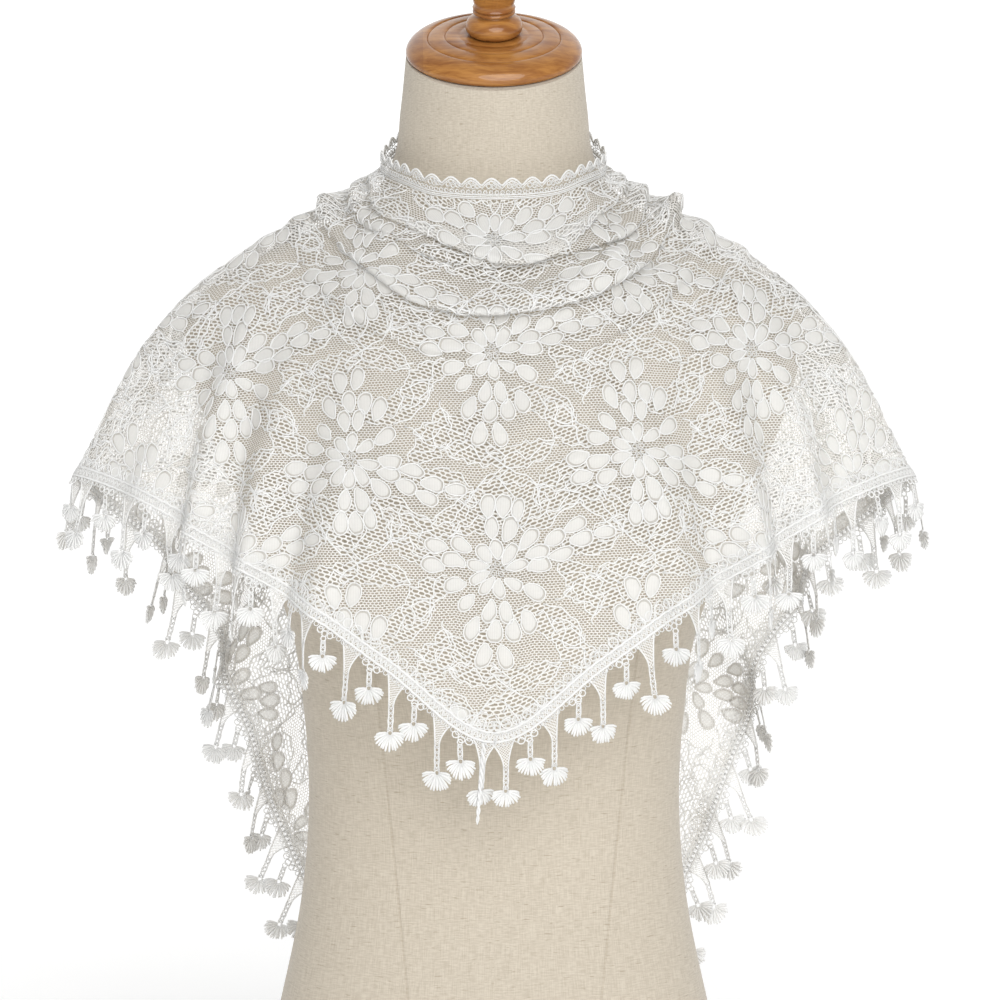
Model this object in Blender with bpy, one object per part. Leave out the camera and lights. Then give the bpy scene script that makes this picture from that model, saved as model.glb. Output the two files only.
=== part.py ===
"""A lace prayer veil, a fringed triangle of lace, worn on a limbless dress form.

The veil's long edge stands round the neck, its point hangs at the front, and the two ends
hang down the back. Metres, +Z up, front towards -Y, origin under the middle of the form.
"""

import math

import bpy
import numpy as np

# Cloth and trim
WALL = 0.0010
SEAM = 0.0003
REST_GAP = 0.0016
EDGING_HEIGHT = 0.0140
SCALLOP_PITCH = 0.0135
SCALLOP_DEPTH = 0.0050
NECK_HALF = 0.190
TAIL_LENGTH = 0.500
NECK_STOP = 0.025
TAIL_START = 0.012
BAND_WIDTH = 0.0090
BAND_WALL = 0.0012

# Grids of the cloth: steps along the fringed edge and from edge to edge
ROWS_DOWN = 26
BACK_ROW_STEP = 2
WIDEST_STEP = 0.0175
SPLIT = 0.415
SPLIT_GAP = 0.00048
COWL_SHARE = 0.36
COWL_STEPS = 0.62

# Turned pieces, and how far the neck leans forward in degrees
NECK_LEAN = 22.0
TORSO_SIDES = 32
CAP_SIDES = 28
FINIAL_SIDES = 16

# Dress form, a row for each level: height on the axis, half width, depth to the front and to
# the back, roundness of the outline, and how far its ring leans forward in degrees.
FORM = [
    # level, height, half_width, front, back, roundness, lean
    ("foot", 0.000, 0.1600, 0.105, 0.118, 2.40, 0.0),
    ("hips", 0.060, 0.1510, 0.102, 0.112, 2.30, 0.0),
    ("belly", 0.141, 0.1305, 0.092, 0.098, 2.20, 0.0),
    ("below_waist", 0.200, 0.1185, 0.085, 0.085, 2.20, 0.0),
    ("waist", 0.258, 0.1135, 0.083, 0.078, 2.20, 0.0),
    ("ribs", 0.320, 0.1165, 0.092, 0.083, 2.20, 0.0),
    ("under_bust", 0.365, 0.1230, 0.107, 0.090, 2.25, 0.0),
    ("bust", 0.410, 0.1390, 0.124, 0.097, 2.30, 0.0),
    ("above_bust", 0.450, 0.1570, 0.121, 0.103, 2.30, 1.0),
    ("armpit", 0.490, 0.1730, 0.108, 0.106, 2.30, 2.0),
    ("shoulder", 0.530, 0.1850, 0.092, 0.102, 2.20, 3.0),
    ("tip", 0.560, 0.1860, 0.080, 0.094, 2.00, 4.0),
    ("slope_outer", 0.580, 0.1670, 0.071, 0.086, 1.90, 6.0),
    ("slope_middle", 0.597, 0.1350, 0.064, 0.078, 1.80, 10.0),
    ("slope_inner", 0.613, 0.1010, 0.059, 0.070, 1.80, 13.5),
    ("neck_root", 0.630, 0.0740, 0.056, 0.063, 1.90, 17.0),
    ("neck_low", 0.650, 0.0620, 0.055, 0.059, 2.00, 19.5),
    ("neck_middle", 0.684, 0.0565, 0.054, 0.056, 2.00, 21.5),
    ("neck_top", 0.716, 0.0532, 0.053, 0.054, 2.00, NECK_LEAN),
]

# Cap on the neck: radius and height along the leaning neck axis, from its rim to its top
CAP = [
    ("rim_foot", 0.0510, 0.0000),
    ("rim", 0.0533, 0.0014),
    ("rim_top", 0.0530, 0.0042),
    ("round_low", 0.0498, 0.0080),
    ("round_high", 0.0450, 0.0105),
    ("groove_edge", 0.0415, 0.0114),
    ("groove", 0.0403, 0.0104),
    ("ring", 0.0388, 0.0117),
    ("ring_edge", 0.0308, 0.0128),
    ("ring_groove", 0.0298, 0.0119),
    ("crown", 0.0282, 0.0130),
    ("crown_top", 0.0175, 0.0134),
]
FINIAL = [
    ("bead_foot", 0.0140, 0.0000),
    ("bead_low", 0.0168, 0.0025),
    ("bead", 0.0172, 0.0060),
    ("bead_high", 0.0150, 0.0098),
    ("neck", 0.0105, 0.0125),
    ("ring_low", 0.0128, 0.0140),
    ("ring_gap", 0.0120, 0.0156),
    ("ring_high", 0.0129, 0.0172),
    ("body_foot", 0.0124, 0.0190),
    ("body", 0.0140, 0.0250),
    ("body_wide", 0.0170, 0.0350),
    ("body_high", 0.0148, 0.0450),
    ("knob_top", 0.0065, 0.0500),
]

# The drape, a row for each section of the right half, from the long edge at its start to the
# fringed edge at its end. The left half mirrors it.
DRAPE = [
    # section, start x y z, over x y z, hang x y z, end x y z
    ("centre", 0.000, -0.067, 0.630, 0.000, -0.104, 0.545, 0.000, -0.138, 0.410,
     0.000, -0.141, 0.320),
    ("breast", 0.034, -0.059, 0.632, 0.046, -0.100, 0.550, 0.056, -0.133, 0.430,
     0.062, -0.137, 0.362),
    ("side_front", 0.052, -0.042, 0.638, 0.086, -0.080, 0.560, 0.108, -0.114, 0.460,
     0.120, -0.121, 0.402),
    ("arm_front", 0.058, -0.023, 0.640, 0.124, -0.048, 0.563, 0.155, -0.078, 0.487,
     0.164, -0.094, 0.427),
    ("wing_front", 0.062, -0.006, 0.642, 0.148, -0.022, 0.584, 0.184, -0.036, 0.530,
     0.205, -0.052, 0.451),
    ("wing_ridge", 0.062, 0.010, 0.645, 0.158, 0.002, 0.590, 0.204, 0.001, 0.550,
     0.254, -0.002, 0.463),
    ("wing_back", 0.057, 0.028, 0.654, 0.150, 0.036, 0.582, 0.199, 0.039, 0.524,
     0.236, 0.034, 0.442),
    ("arm_back", 0.043, 0.049, 0.665, 0.132, 0.072, 0.548, 0.176, 0.080, 0.468,
     0.200, 0.068, 0.402),
    ("nape", 0.019, 0.063, 0.675, 0.092, 0.098, 0.530, 0.148, 0.106, 0.425,
     0.175, 0.092, 0.354),
    ("blade", 0.020, 0.092, 0.600, 0.074, 0.115, 0.470, 0.128, 0.117, 0.370,
     0.160, 0.108, 0.304),
    ("back", 0.022, 0.115, 0.500, 0.064, 0.123, 0.400, 0.109, 0.121, 0.313,
     0.145, 0.117, 0.254),
    ("loin", 0.024, 0.121, 0.397, 0.053, 0.126, 0.320, 0.091, 0.125, 0.254,
     0.128, 0.121, 0.210),
    ("tail", 0.027, 0.124, 0.289, 0.046, 0.128, 0.242, 0.076, 0.128, 0.200,
     0.106, 0.125, 0.168),
    ("tip", 0.040, 0.128, 0.134, 0.044, 0.129, 0.130, 0.052, 0.130, 0.120,
     0.057, 0.130, 0.113),
]
NAPE_ROW = 8

# Cowl ridges below the neck: how far down the cloth each lies and how far it stands out, over
# the left shoulder, at the middle and over the right shoulder, and its half width.
COWL = [
    # ridge, down left, middle, right, height left, middle, right, half_width
    ("collar_swag", 0.012, 0.026, 0.014, 0.0035, 0.0040, 0.0040, 0.0080),
    ("upper_swag", 0.026, 0.046, 0.032, 0.0060, 0.0070, 0.0095, 0.0100),
    ("middle_swag", 0.041, 0.068, 0.047, 0.0070, 0.0085, 0.0120, 0.0110),
    ("lower_swag", 0.058, 0.092, 0.066, 0.0030, 0.0080, 0.0060, 0.0130),
    ("breast_swag", 0.085, 0.122, 0.096, 0.0010, 0.0045, 0.0035, 0.0150),
]
COWL_REACH = 0.300
COWL_FADE = 0.110
DROOP = 0.35

# Flutes that widen towards the fringed edge: where each is along the edge, in metres from the
# front point on its side, how far it stands out, and half its width. Sides: -1 left, 1 right.
FLUTES = [
    # side, place, height, half_width, start
    (-1, 0.126, 0.0070, 0.012, 0.55),
    (-1, 0.152, -0.0090, 0.012, 0.50),
    (-1, 0.176, 0.0120, 0.011, 0.40),
    (-1, 0.198, -0.0110, 0.011, 0.38),
    (-1, 0.221, 0.0100, 0.011, 0.35),
    (-1, 0.245, -0.0080, 0.012, 0.40),
    (-1, 0.274, 0.0050, 0.015, 0.45),
    (1, 0.134, 0.0080, 0.013, 0.55),
    (1, 0.163, -0.0100, 0.013, 0.45),
    (1, 0.190, 0.0110, 0.012, 0.35),
    (1, 0.216, -0.0100, 0.012, 0.38),
    (1, 0.243, 0.0080, 0.013, 0.45),
    (1, 0.272, -0.0050, 0.015, 0.50),
    (-1, 0.388, 0.0090, 0.018, 0.25),
    (-1, 0.430, -0.0070, 0.018, 0.20),
    (-1, 0.462, 0.0120, 0.019, 0.15),
    (-1, 0.502, -0.0090, 0.020, 0.10),
    (-1, 0.545, 0.0100, 0.021, 0.05),
    (-1, 0.590, -0.0070, 0.022, 0.05),
    (-1, 0.640, 0.0060, 0.024, 0.05),
    (1, 0.364, -0.0050, 0.018, 0.25),
    (1, 0.396, 0.0065, 0.018, 0.20),
    (1, 0.440, -0.0080, 0.020, 0.15),
    (1, 0.486, 0.0110, 0.020, 0.10),
    (1, 0.530, -0.0090, 0.021, 0.05),
    (1, 0.576, 0.0080, 0.022, 0.05),
    (1, 0.626, -0.0060, 0.024, 0.05),
]

# Fan tassels: how far below the band each ring of the lock lies, and its half width
LONG_FAN = [
    ("stem_top", 0.0130, 0.0013),
    ("stem_foot", 0.0250, 0.0013),
    ("fan", 0.0335, 0.0068),
    ("fan_tip", 0.0400, 0.0045),
]
SHORT_FAN = [
    ("stem_foot", 0.0085, 0.0012),
    ("fan", 0.0165, 0.0062),
    ("fan_tip", 0.0225, 0.0042),
]
ELBOW_ROOM = 0.42
SWAY = 0.10
SWAY_TURN = 2.4

# How much the tassels hang straight down, and how far from the seam the first one is
FRONT_STYLE = (0.75, 0.0)
BACK_STYLE = (0.50, 0.012)
UP = np.array([0, 0, 1.0])

COLOURS = {
    # name: red, green, blue, roughness
    "lace": (0.90, 0.90, 0.88, 0.80),
    "trim": (0.93, 0.93, 0.91, 0.65),
    "linen": (0.70, 0.62, 0.49, 0.90),
    "varnished_wood": (0.42, 0.17, 0.05, 0.18),
}


def smooth(knots, values, places):
    """Reads, at the given places, the smooth curve that passes through values at the knots."""
    knots = np.asarray(knots, float)
    values = np.asarray(values, float)
    places = np.asarray(places, float)
    span = np.diff(knots)[:, None]
    slope = np.diff(values, axis=0) / span
    tangent = np.concatenate([slope[:1], slope[:-1], slope[-1:]])
    inner = slope[:-1] * span[1:] + slope[1:] * span[:-1]
    tangent[1:-1] = inner / (span[1:] + span[:-1])
    k = np.clip(np.searchsorted(knots, places, side="right") - 1, 0, len(knots) - 2)
    f = ((places - knots[k]) / span[k, 0])[..., None]
    width = span[k]
    a = (1 + 2 * f) * (1 - f) ** 2 * values[k]
    b = f * (1 - f) ** 2 * width * tangent[k]
    c = f * f * (3 - 2 * f) * values[k + 1]
    d = f * f * (f - 1) * width * tangent[k + 1]
    return a + b + c + d


def unit(vectors):
    length = np.linalg.norm(vectors, axis=-1, keepdims=True)
    return vectors / np.maximum(length, 1e-9)


FORM_HEIGHTS = np.array([row[1] for row in FORM])
FORM_VALUES = np.array([row[2:] for row in FORM])


def ring_at(height):
    """Half width, front, back, roundness and lean of the form at these heights."""
    flat = smooth(FORM_HEIGHTS, FORM_VALUES, np.clip(height, 0, FORM_HEIGHTS[-1]))
    return [flat[..., i] for i in range(5)]


def form_share(points):
    """Where points lie against the form's skin: under 1 inside it, over 1 outside."""
    x, y, z = (points[..., i] for i in range(3))
    height = z
    for _ in range(3):
        lean = ring_at(height)[4]
        height = z - np.tan(np.radians(lean)) * y
    half_width, front, back, roundness, _ = ring_at(height)
    depth = np.where(y < 0, front, back)
    share = (np.abs(x) / half_width) ** roundness + (np.abs(y) / depth) ** roundness
    return np.maximum(share, 1e-9) ** (1 / roundness)


def form_distance(points):
    """Distance from the form's skin and the way out of it."""
    step = 0.0005
    here = form_share(points)
    slopes = [(form_share(points + step * axis) - here) / step for axis in np.eye(3)]
    slope = np.stack(slopes, axis=-1)
    steepness = np.maximum(np.linalg.norm(slope, axis=-1, keepdims=True), 1.0)
    return ((here - 1)[..., None] / steepness), unit(slope)


def clear_of_form(points, gap, softness=0.0):
    """Moves points that lie in the form, or too near it, out to the gap."""
    if softness:
        distance, way = form_distance(points)
        over = np.logaddexp(0, (distance - gap) / softness) * softness
        points = points + way * (gap + over - distance)
    for _ in range(4):
        distance, way = form_distance(points)
        points = points + way * np.maximum(gap - distance, 0)
    return points


def both_sides(rows):
    """The drape's rows with their mirror images, from the left tail to the right one."""
    right = np.array([row[1:] for row in rows]).reshape(len(rows), 4, 3)
    left = right[:0:-1] * [-1, 1, 1]
    return np.concatenate([left, right])


SECTIONS = both_sides(DRAPE)
MIDDLE = len(DRAPE) - 1


def edge_places():
    """How far each section is along the fringed edge from the front point, in metres."""
    steps = np.linalg.norm(np.diff(SECTIONS[:, 3], axis=0), axis=1)
    along = np.concatenate([[0], np.cumsum(steps)])
    return along - along[MIDDLE]


PLACES = edge_places()
NAPE = PLACES[MIDDLE + NAPE_ROW]
TAIL = PLACES[-1]


def rounded(t):
    """A soft bump: 1 at 0, nothing past -1 and 1."""
    return np.where(np.abs(t) < 1, np.cos(np.clip(t, -1, 1) * math.pi / 2) ** 2, 0)


def cowl_height(place, down):
    """How far the cowl ridges lift the cloth at this place along the edge and way down."""
    lift = np.zeros_like(place)
    across = np.clip(place, -COWL_REACH, COWL_REACH)
    fades = np.clip((COWL_REACH + COWL_FADE - np.abs(place)) / COWL_FADE, 0, 1)
    for _, *numbers, half_width in COWL:
        knots = np.array(numbers).reshape(2, 3).T
        ridge = smooth([-COWL_REACH, 0, COWL_REACH], knots, across)
        away = (down - ridge[..., 0]) / half_width
        away = np.where(away < 0, away / 1.2, away / 0.8)
        lift = lift + ridge[..., 1] * rounded(away)
    return lift * fades**2 * (3 - 2 * fades)


def flute_height(place, share):
    """How far the flutes move the cloth at this place along the edge and share of the way."""
    lift = np.zeros_like(place)
    for side, centre, height, half_width, start in FLUTES:
        grows = np.clip((share - start) / (1 - start), 0, 1) ** 1.3
        lift = lift + height * grows * rounded((place - side * centre) / (1.25 * half_width))
    return lift


def grid_normals(points):
    """Outward normals of a grid of points. Its first axis runs from left to right."""
    along = np.gradient(points, axis=0)
    down = np.gradient(points, axis=1)
    return unit(np.cross(down, along))


def drape(places, shares):
    """Grid of points of the cloth's inner face at places along the edge and shares across."""
    knots = smooth(PLACES, SECTIONS.reshape(len(SECTIONS), 12), places).reshape(-1, 4, 3)
    grid = np.empty((len(places), len(shares), 3))
    for i, knot in enumerate(knots):
        run = np.concatenate([[0], np.cumsum(np.linalg.norm(np.diff(knot, axis=0), axis=1))])
        grid[i] = smooth(run / run[-1], knot, shares)
    grid = clear_of_form(grid, REST_GAP, 0.004)
    place = np.repeat(places[:, None], len(shares), axis=1)
    share = np.repeat(shares[None, :], len(places), axis=0)
    steps = np.linalg.norm(np.diff(grid, axis=1), axis=2)
    down = np.concatenate([np.zeros((len(places), 1)), np.cumsum(steps, axis=1)], axis=1)
    cowl = cowl_height(place, down)
    fall = unit(np.gradient(grid, axis=1)) * DROOP
    lifted = grid_normals(grid) * (cowl + flute_height(place, share))[..., None]
    return clear_of_form(grid + lifted + fall * cowl[..., None], REST_GAP)


def make_object(name, vertices, faces, material, is_smooth=True):
    """One closed mesh object with its faces turned outwards."""
    mesh = bpy.data.meshes.new(name)
    mesh.from_pydata([tuple(v) for v in vertices], [], faces)
    mesh.update()
    if is_smooth:
        mesh.shade_smooth()
        mesh.set_sharp_from_angle(angle=math.radians(50))
    thing = bpy.data.objects.new(name, mesh)
    bpy.context.scene.collection.objects.link(thing)
    mesh.materials.append(material)
    return thing


def make_material(name):
    red, green, blue, roughness = COLOURS[name]
    material = bpy.data.materials.new(name)
    material.use_nodes = True
    shader = material.node_tree.nodes["Principled BSDF"]
    shader.inputs["Base Color"].default_value = (red, green, blue, 1)
    shader.inputs["Roughness"].default_value = roughness
    shader.inputs["Metallic"].default_value = 0.0
    return material


def wall_between(inner, outer):
    """Vertices and faces of the closed wall between two grids of the same size."""
    rows, columns = inner.shape[:2]
    vertices = np.concatenate([inner.reshape(-1, 3), outer.reshape(-1, 3)])
    other = rows * columns

    def at(i, j):
        return i * columns + j

    faces = []
    for i in range(rows - 1):
        for j in range(columns - 1):
            a, b, c, d = at(i, j), at(i + 1, j), at(i + 1, j + 1), at(i, j + 1)
            one, two = vertices[a] - vertices[c], vertices[b] - vertices[d]
            halves = [(a, b, c), (a, c, d)] if one @ one < two @ two else [(a, b, d), (b, c, d)]
            for half in halves:
                faces.append(half)
                faces.append(tuple(k + other for k in half[::-1]))
    rim = [at(i, 0) for i in range(rows)]
    rim += [at(rows - 1, j) for j in range(1, columns)]
    rim += [at(i, columns - 1) for i in range(rows - 2, -1, -1)]
    rim += [at(0, j) for j in range(columns - 2, 0, -1)]
    for here, after in zip(rim, rim[1:] + rim[:1]):
        faces.append((after, here, here + other, after + other))
    return vertices, faces


def turned(profile, sides, foot, lean):
    """A turned solid on a leaning axis: its points and faces."""
    angles = np.arange(sides) * 2 * math.pi / sides
    axis = np.array([0, -math.sin(lean), math.cos(lean)])
    across = np.array([0, math.cos(lean), math.sin(lean)])
    rings = []
    for _, radius, height in profile:
        ring = foot + axis * height + np.outer(np.cos(angles), [radius, 0, 0])
        rings.append(ring + np.outer(np.sin(angles), across) * radius)
    return stacked(rings)


def stacked(rings):
    """Closed solid through rings of points, each of which runs anticlockwise from above."""
    sides = len(rings[0])
    faces = [tuple(range(sides - 1, -1, -1))]
    for level in range(len(rings) - 1):
        low, high = level * sides, (level + 1) * sides
        for k in range(sides):
            after = (k + 1) % sides
            faces.append((low + k, low + after, high + after, high + k))
    top = (len(rings) - 1) * sides
    faces.append(tuple(range(top, top + sides)))
    return np.concatenate(rings), faces


def form_ring(height):
    half_width, front, back, roundness, lean = (float(v) for v in ring_at(height))
    angles = np.arange(TORSO_SIDES) * 2 * math.pi / TORSO_SIDES
    power = 2 / roundness
    x = half_width * np.sign(np.cos(angles)) * np.abs(np.cos(angles)) ** power
    y = np.sign(np.sin(angles)) * np.abs(np.sin(angles)) ** power
    y = np.where(y < 0, y * front, y * back)
    return np.stack([x, y, height + math.tan(math.radians(lean)) * y], axis=1)


def torso_heights():
    """Levels of the torso's rings, closer together over the shoulders."""
    low = np.linspace(0, 0.53, 12)
    slope = np.linspace(0.53, 0.65, 9)[1:]
    neck = np.linspace(0.65, FORM_HEIGHTS[-1], 4)[1:]
    return np.concatenate([low, slope, neck])


def build_form(linen, wood):
    rings = [form_ring(height) for height in torso_heights()]
    make_object("form_torso", *stacked(rings), linen)
    lean = math.radians(NECK_LEAN)
    axis = np.array([0, -math.sin(lean), math.cos(lean)])
    foot = np.array([0, 0, FORM_HEIGHTS[-1]]) + axis * SEAM
    make_object("form_cap", *turned(CAP, CAP_SIDES, foot, lean), wood)
    foot = foot + axis * (CAP[-1][2] + SEAM)
    make_object("form_finial", *turned(FINIAL, FINIAL_SIDES, foot, lean), wood)


def panel_places(first, last):
    """Lines of a stretch along the edge: on each flute, halfway between two, evenly past."""
    flutes = [side * place for side, place, *_ in FLUTES if first < side * place < last]
    middle = [0.0] if first < 0 < last else []
    knots = sorted([first, last] + flutes + middle)
    places = [first]
    for low, high in zip(knots, knots[1:]):
        steps = max(math.ceil((high - low) / WIDEST_STEP), 2)
        places += list(np.linspace(low, high, steps + 1)[1:])
    return places


def cut_panels():
    """Places along the edge, and the inner and outer faces, of each stretch of the cloth."""
    stretches = {
        "veil_back_left": panel_places(-TAIL, -SPLIT - SPLIT_GAP),
        "veil_front": panel_places(-SPLIT + SPLIT_GAP, SPLIT - SPLIT_GAP),
        "veil_back_right": panel_places(SPLIT + SPLIT_GAP, TAIL),
    }
    rows = np.linspace(0, 1, ROWS_DOWN + 1)
    shares = np.interp(rows, [0, COWL_STEPS, 1], [0, COWL_SHARE, 1])
    inner = drape(np.concatenate(list(stretches.values())), shares)
    outer = inner + grid_normals(inner) * WALL
    panels, start = {}, 0
    for name, places in stretches.items():
        lines = slice(start, start + len(places))
        kept = slice(None, None, 1 if name == "veil_front" else BACK_ROW_STEP)
        panels[name] = (np.array(places), inner[lines, kept], outer[lines, kept])
        start += len(places)
    return panels


def long_edge(panels, first, last, count):
    """Even steps along the cloth's long edge: points, normals and the way out past the edge."""
    places = np.concatenate([panel[0] for panel in panels.values()])
    line = np.concatenate([panel[1][:, 0] for panel in panels.values()])
    below = np.concatenate([panel[1][:, 1] for panel in panels.values()])
    face = np.concatenate([panel[2][:, 0] for panel in panels.values()])
    run = np.concatenate([[0], np.cumsum(np.linalg.norm(np.diff(line, axis=0), axis=1))])
    ends = np.interp([first, last], places, run)
    at = np.linspace(*ends, count)
    values = np.concatenate([line, below, face], axis=1)
    points, under, outer = np.stack(
        [np.interp(at, run, column) for column in values.T], axis=1
    ).reshape(count, 3, 3).transpose(1, 0, 2)
    along = unit(np.gradient(points, axis=0))
    way = points - under
    way = way - along * np.sum(way * along, axis=1, keepdims=True)
    return points, unit(outer - points), unit(way)


def scalloped(length, per_scallop):
    """Width of a scalloped edging at each step along it."""
    steps = np.arange(round(length / SCALLOP_PITCH) * per_scallop + 1)
    waves = np.abs(np.sin(math.pi * steps / per_scallop))
    return EDGING_HEIGHT - SCALLOP_DEPTH * (1 - waves)


def edging_between(name, rim, foot, material):
    inner = clear_of_form(np.stack([rim, foot], axis=1), REST_GAP)
    outer = inner + grid_normals(inner) * WALL
    make_object(name, *wall_between(inner, outer), material)


def build_neck_edging(panels, material):
    width = scalloped(2 * NECK_HALF, 4)
    points, normal, _ = long_edge(panels, NECK_STOP - NAPE, NAPE - NECK_STOP, len(width))
    lean = math.radians(NECK_LEAN)
    up = np.array([0, -math.sin(lean), math.cos(lean)])
    over_wall = WALL * np.maximum(normal @ up, 0)
    foot = points + up * (SEAM + over_wall)[:, None]
    edging_between("edging_neck", foot + up * width[:, None], foot, material)


def build_tail_edging(name, panels, side, material):
    first, last = sorted([side * (NAPE + TAIL_START), side * TAIL])
    width = scalloped(TAIL_LENGTH, 2)
    points, _, way = long_edge(panels, first, last, len(width))
    foot = points + way * SEAM
    edging_between(name, foot + way * width[:, None], foot, material)


def build_fringe(name, panel, side, style, material):
    """A band along the fringed edge with long and short fan tassels by turns."""
    fall, bare = style
    places, inner, outer = panel
    kept = places * side >= 0
    edge, before = inner[kept, -1], inner[kept, -2]
    normal = unit(outer[kept, -1] - edge)
    way = unit(edge - before)
    edge[np.abs(places[kept]) < SEAM, 0] = side * SEAM
    foot = edge + way * (SEAM + BAND_WIDTH)
    top = edge + way * SEAM
    thick = normal * BAND_WALL
    vertices = list(np.concatenate([top, foot, foot + thick, top + thick]))
    n = len(edge)

    def at(corner, i):
        return corner * n + i

    faces = [(at(0, 0), at(1, 0), at(2, 0), at(3, 0))]
    faces.append((at(3, n - 1), at(2, n - 1), at(1, n - 1), at(0, n - 1)))
    middles = (places[kept][1:] + places[kept][:-1]) / 2
    roots, lines = [], []
    for i in range(n - 1):
        for low, high in ((1, 0), (0, 3), (3, 2)):
            faces.append((at(low, i), at(high, i), at(high, i + 1), at(low, i + 1)))
        root = [at(1, i), at(1, i + 1), at(2, i + 1), at(2, i)]
        out = unit(normal[i] + normal[i + 1])
        drop = unit(unit(way[i] + way[i + 1]) * (1 - fall) - UP * fall)
        drop = unit(drop + out * SWAY * math.sin(SWAY_TURN * i))
        roots.append(root)
        lines.append((sum(vertices[k] for k in root) / 4, drop, out))
    for i, (root, line) in enumerate(zip(roots, lines)):
        if abs(abs(middles[i]) - SPLIT) < bare:
            faces.append(tuple(root))
            continue
        others = [lines[k] for k in range(max(i - 3, 0), min(i + 4, n - 1)) if k != i]
        add_lock(vertices, faces, root, line, others, LONG_FAN if i % 2 == 0 else SHORT_FAN)
    make_object(name, vertices, faces, material, is_smooth=False)


def room_between(point, others):
    """Distance from a point to the nearest of the other locks' middle lines."""
    nearest = []
    for start, drop, _ in others:
        along = np.clip((point - start) @ drop, 0, LONG_FAN[-1][1])
        nearest.append(np.linalg.norm(point - start - drop * along))
    return min(nearest)


def add_lock(vertices, faces, root, line, others, rings):
    """A flat four-sided lock, a fan on its stem, that grows from four points of a band."""
    middle, drop, out = line
    side = unit(vertices[root[1]] - vertices[root[0]])
    side = unit(side - drop * (side @ drop))
    through = np.cross(side, drop)
    through = through * np.sign(through @ out)
    for _, reach, half_width in rings:
        centre = middle + drop * reach
        half_width = min(half_width, ELBOW_ROOM * room_between(centre, others))
        ring = []
        for across, depth in ((-1, -1), (1, -1), (1, 1), (-1, 1)):
            ring.append(len(vertices))
            offset = side * across * half_width + through * depth * BAND_WALL / 2
            vertices.append(centre + offset)
        for k in range(4):
            after = (k + 1) % 4
            faces.append((root[k], root[after], ring[after], ring[k]))
        root = ring
    faces.append(tuple(root))


def main():
    for thing in list(bpy.data.objects):
        bpy.data.objects.remove(thing, do_unlink=True)
    lace, trim, linen, wood = (make_material(name) for name in COLOURS)
    build_form(linen, wood)
    panels = cut_panels()
    for name, (_, inner, outer) in panels.items():
        make_object(name, *wall_between(inner, outer), lace)
    build_neck_edging(panels, trim)
    for word, side in (("left", -1), ("right", 1)):
        build_tail_edging(f"edging_tail_{word}", panels, side, trim)
        build_fringe(f"fringe_front_{word}", panels["veil_front"], side, FRONT_STYLE, trim)
        build_fringe(f"fringe_back_{word}", panels[f"veil_back_{word}"], side, BACK_STYLE, trim)


main()
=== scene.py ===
# %% [markdown]
# # A lace prayer veil on a dress form
# The veil is a triangle of soft white net with woven flowers, edged with scallops on its long
# side and with fan tassels on the two short ones. Here it is worn: the long edge stands round
# the neck, the point hangs at the front, and the two ends hang down the back of a linen form.
# The solids are already made. This lesson dresses them, so each piece of cloth, thread and wood
# lies exactly where its solid lies.

# %% Load the solids
import math

import bpy
import numpy as np
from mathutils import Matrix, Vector, kdtree


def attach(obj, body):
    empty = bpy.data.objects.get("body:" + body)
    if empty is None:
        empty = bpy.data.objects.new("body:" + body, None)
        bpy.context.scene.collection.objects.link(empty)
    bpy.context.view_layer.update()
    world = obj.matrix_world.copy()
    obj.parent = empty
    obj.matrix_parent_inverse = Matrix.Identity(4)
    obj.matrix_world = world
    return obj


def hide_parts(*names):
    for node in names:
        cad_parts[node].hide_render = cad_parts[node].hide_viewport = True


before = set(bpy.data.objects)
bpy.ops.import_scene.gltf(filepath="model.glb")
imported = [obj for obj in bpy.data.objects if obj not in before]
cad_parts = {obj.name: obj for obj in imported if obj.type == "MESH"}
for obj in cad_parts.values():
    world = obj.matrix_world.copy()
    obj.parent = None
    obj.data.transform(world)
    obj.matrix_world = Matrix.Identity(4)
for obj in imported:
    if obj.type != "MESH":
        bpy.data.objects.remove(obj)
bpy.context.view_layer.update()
print("solids:", sorted(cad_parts))

# %% [markdown]
# ## The shapes that everything follows
# A dress form is a stack of rings, each wider than deep and a little squarer than an ellipse.
# The cloth is easier to think of as fourteen cords on each side, which run from the long edge,
# over the shoulder, to the fringed edge. A smooth curve through the same points on every cord
# gives the sheet, and ridges added to it give the folds. The numbers are the solids' own, so
# that the cloth here lies in the wall that was made for it.

# %% Rings of the dress form
FORM = [
    # height, half_width, front, back, roundness, lean
    (0.000, 0.1600, 0.105, 0.118, 2.40, 0.0),
    (0.060, 0.1510, 0.102, 0.112, 2.30, 0.0),
    (0.141, 0.1305, 0.092, 0.098, 2.20, 0.0),
    (0.200, 0.1185, 0.085, 0.085, 2.20, 0.0),
    (0.258, 0.1135, 0.083, 0.078, 2.20, 0.0),
    (0.320, 0.1165, 0.092, 0.083, 2.20, 0.0),
    (0.365, 0.1230, 0.107, 0.090, 2.25, 0.0),
    (0.410, 0.1390, 0.124, 0.097, 2.30, 0.0),
    (0.450, 0.1570, 0.121, 0.103, 2.30, 1.0),
    (0.490, 0.1730, 0.108, 0.106, 2.30, 2.0),
    (0.530, 0.1850, 0.092, 0.102, 2.20, 3.0),
    (0.560, 0.1860, 0.080, 0.094, 2.00, 4.0),
    (0.580, 0.1670, 0.071, 0.086, 1.90, 6.0),
    (0.597, 0.1350, 0.064, 0.078, 1.80, 10.0),
    (0.613, 0.1010, 0.059, 0.070, 1.80, 13.5),
    (0.630, 0.0740, 0.056, 0.063, 1.90, 17.0),
    (0.650, 0.0620, 0.055, 0.059, 2.00, 19.5),
    (0.684, 0.0565, 0.054, 0.056, 2.00, 21.5),
    (0.716, 0.0532, 0.053, 0.054, 2.00, 22.0),
]
FORM_HEIGHTS = np.array([row[0] for row in FORM])
FORM_VALUES = np.array([row[1:] for row in FORM])
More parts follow.
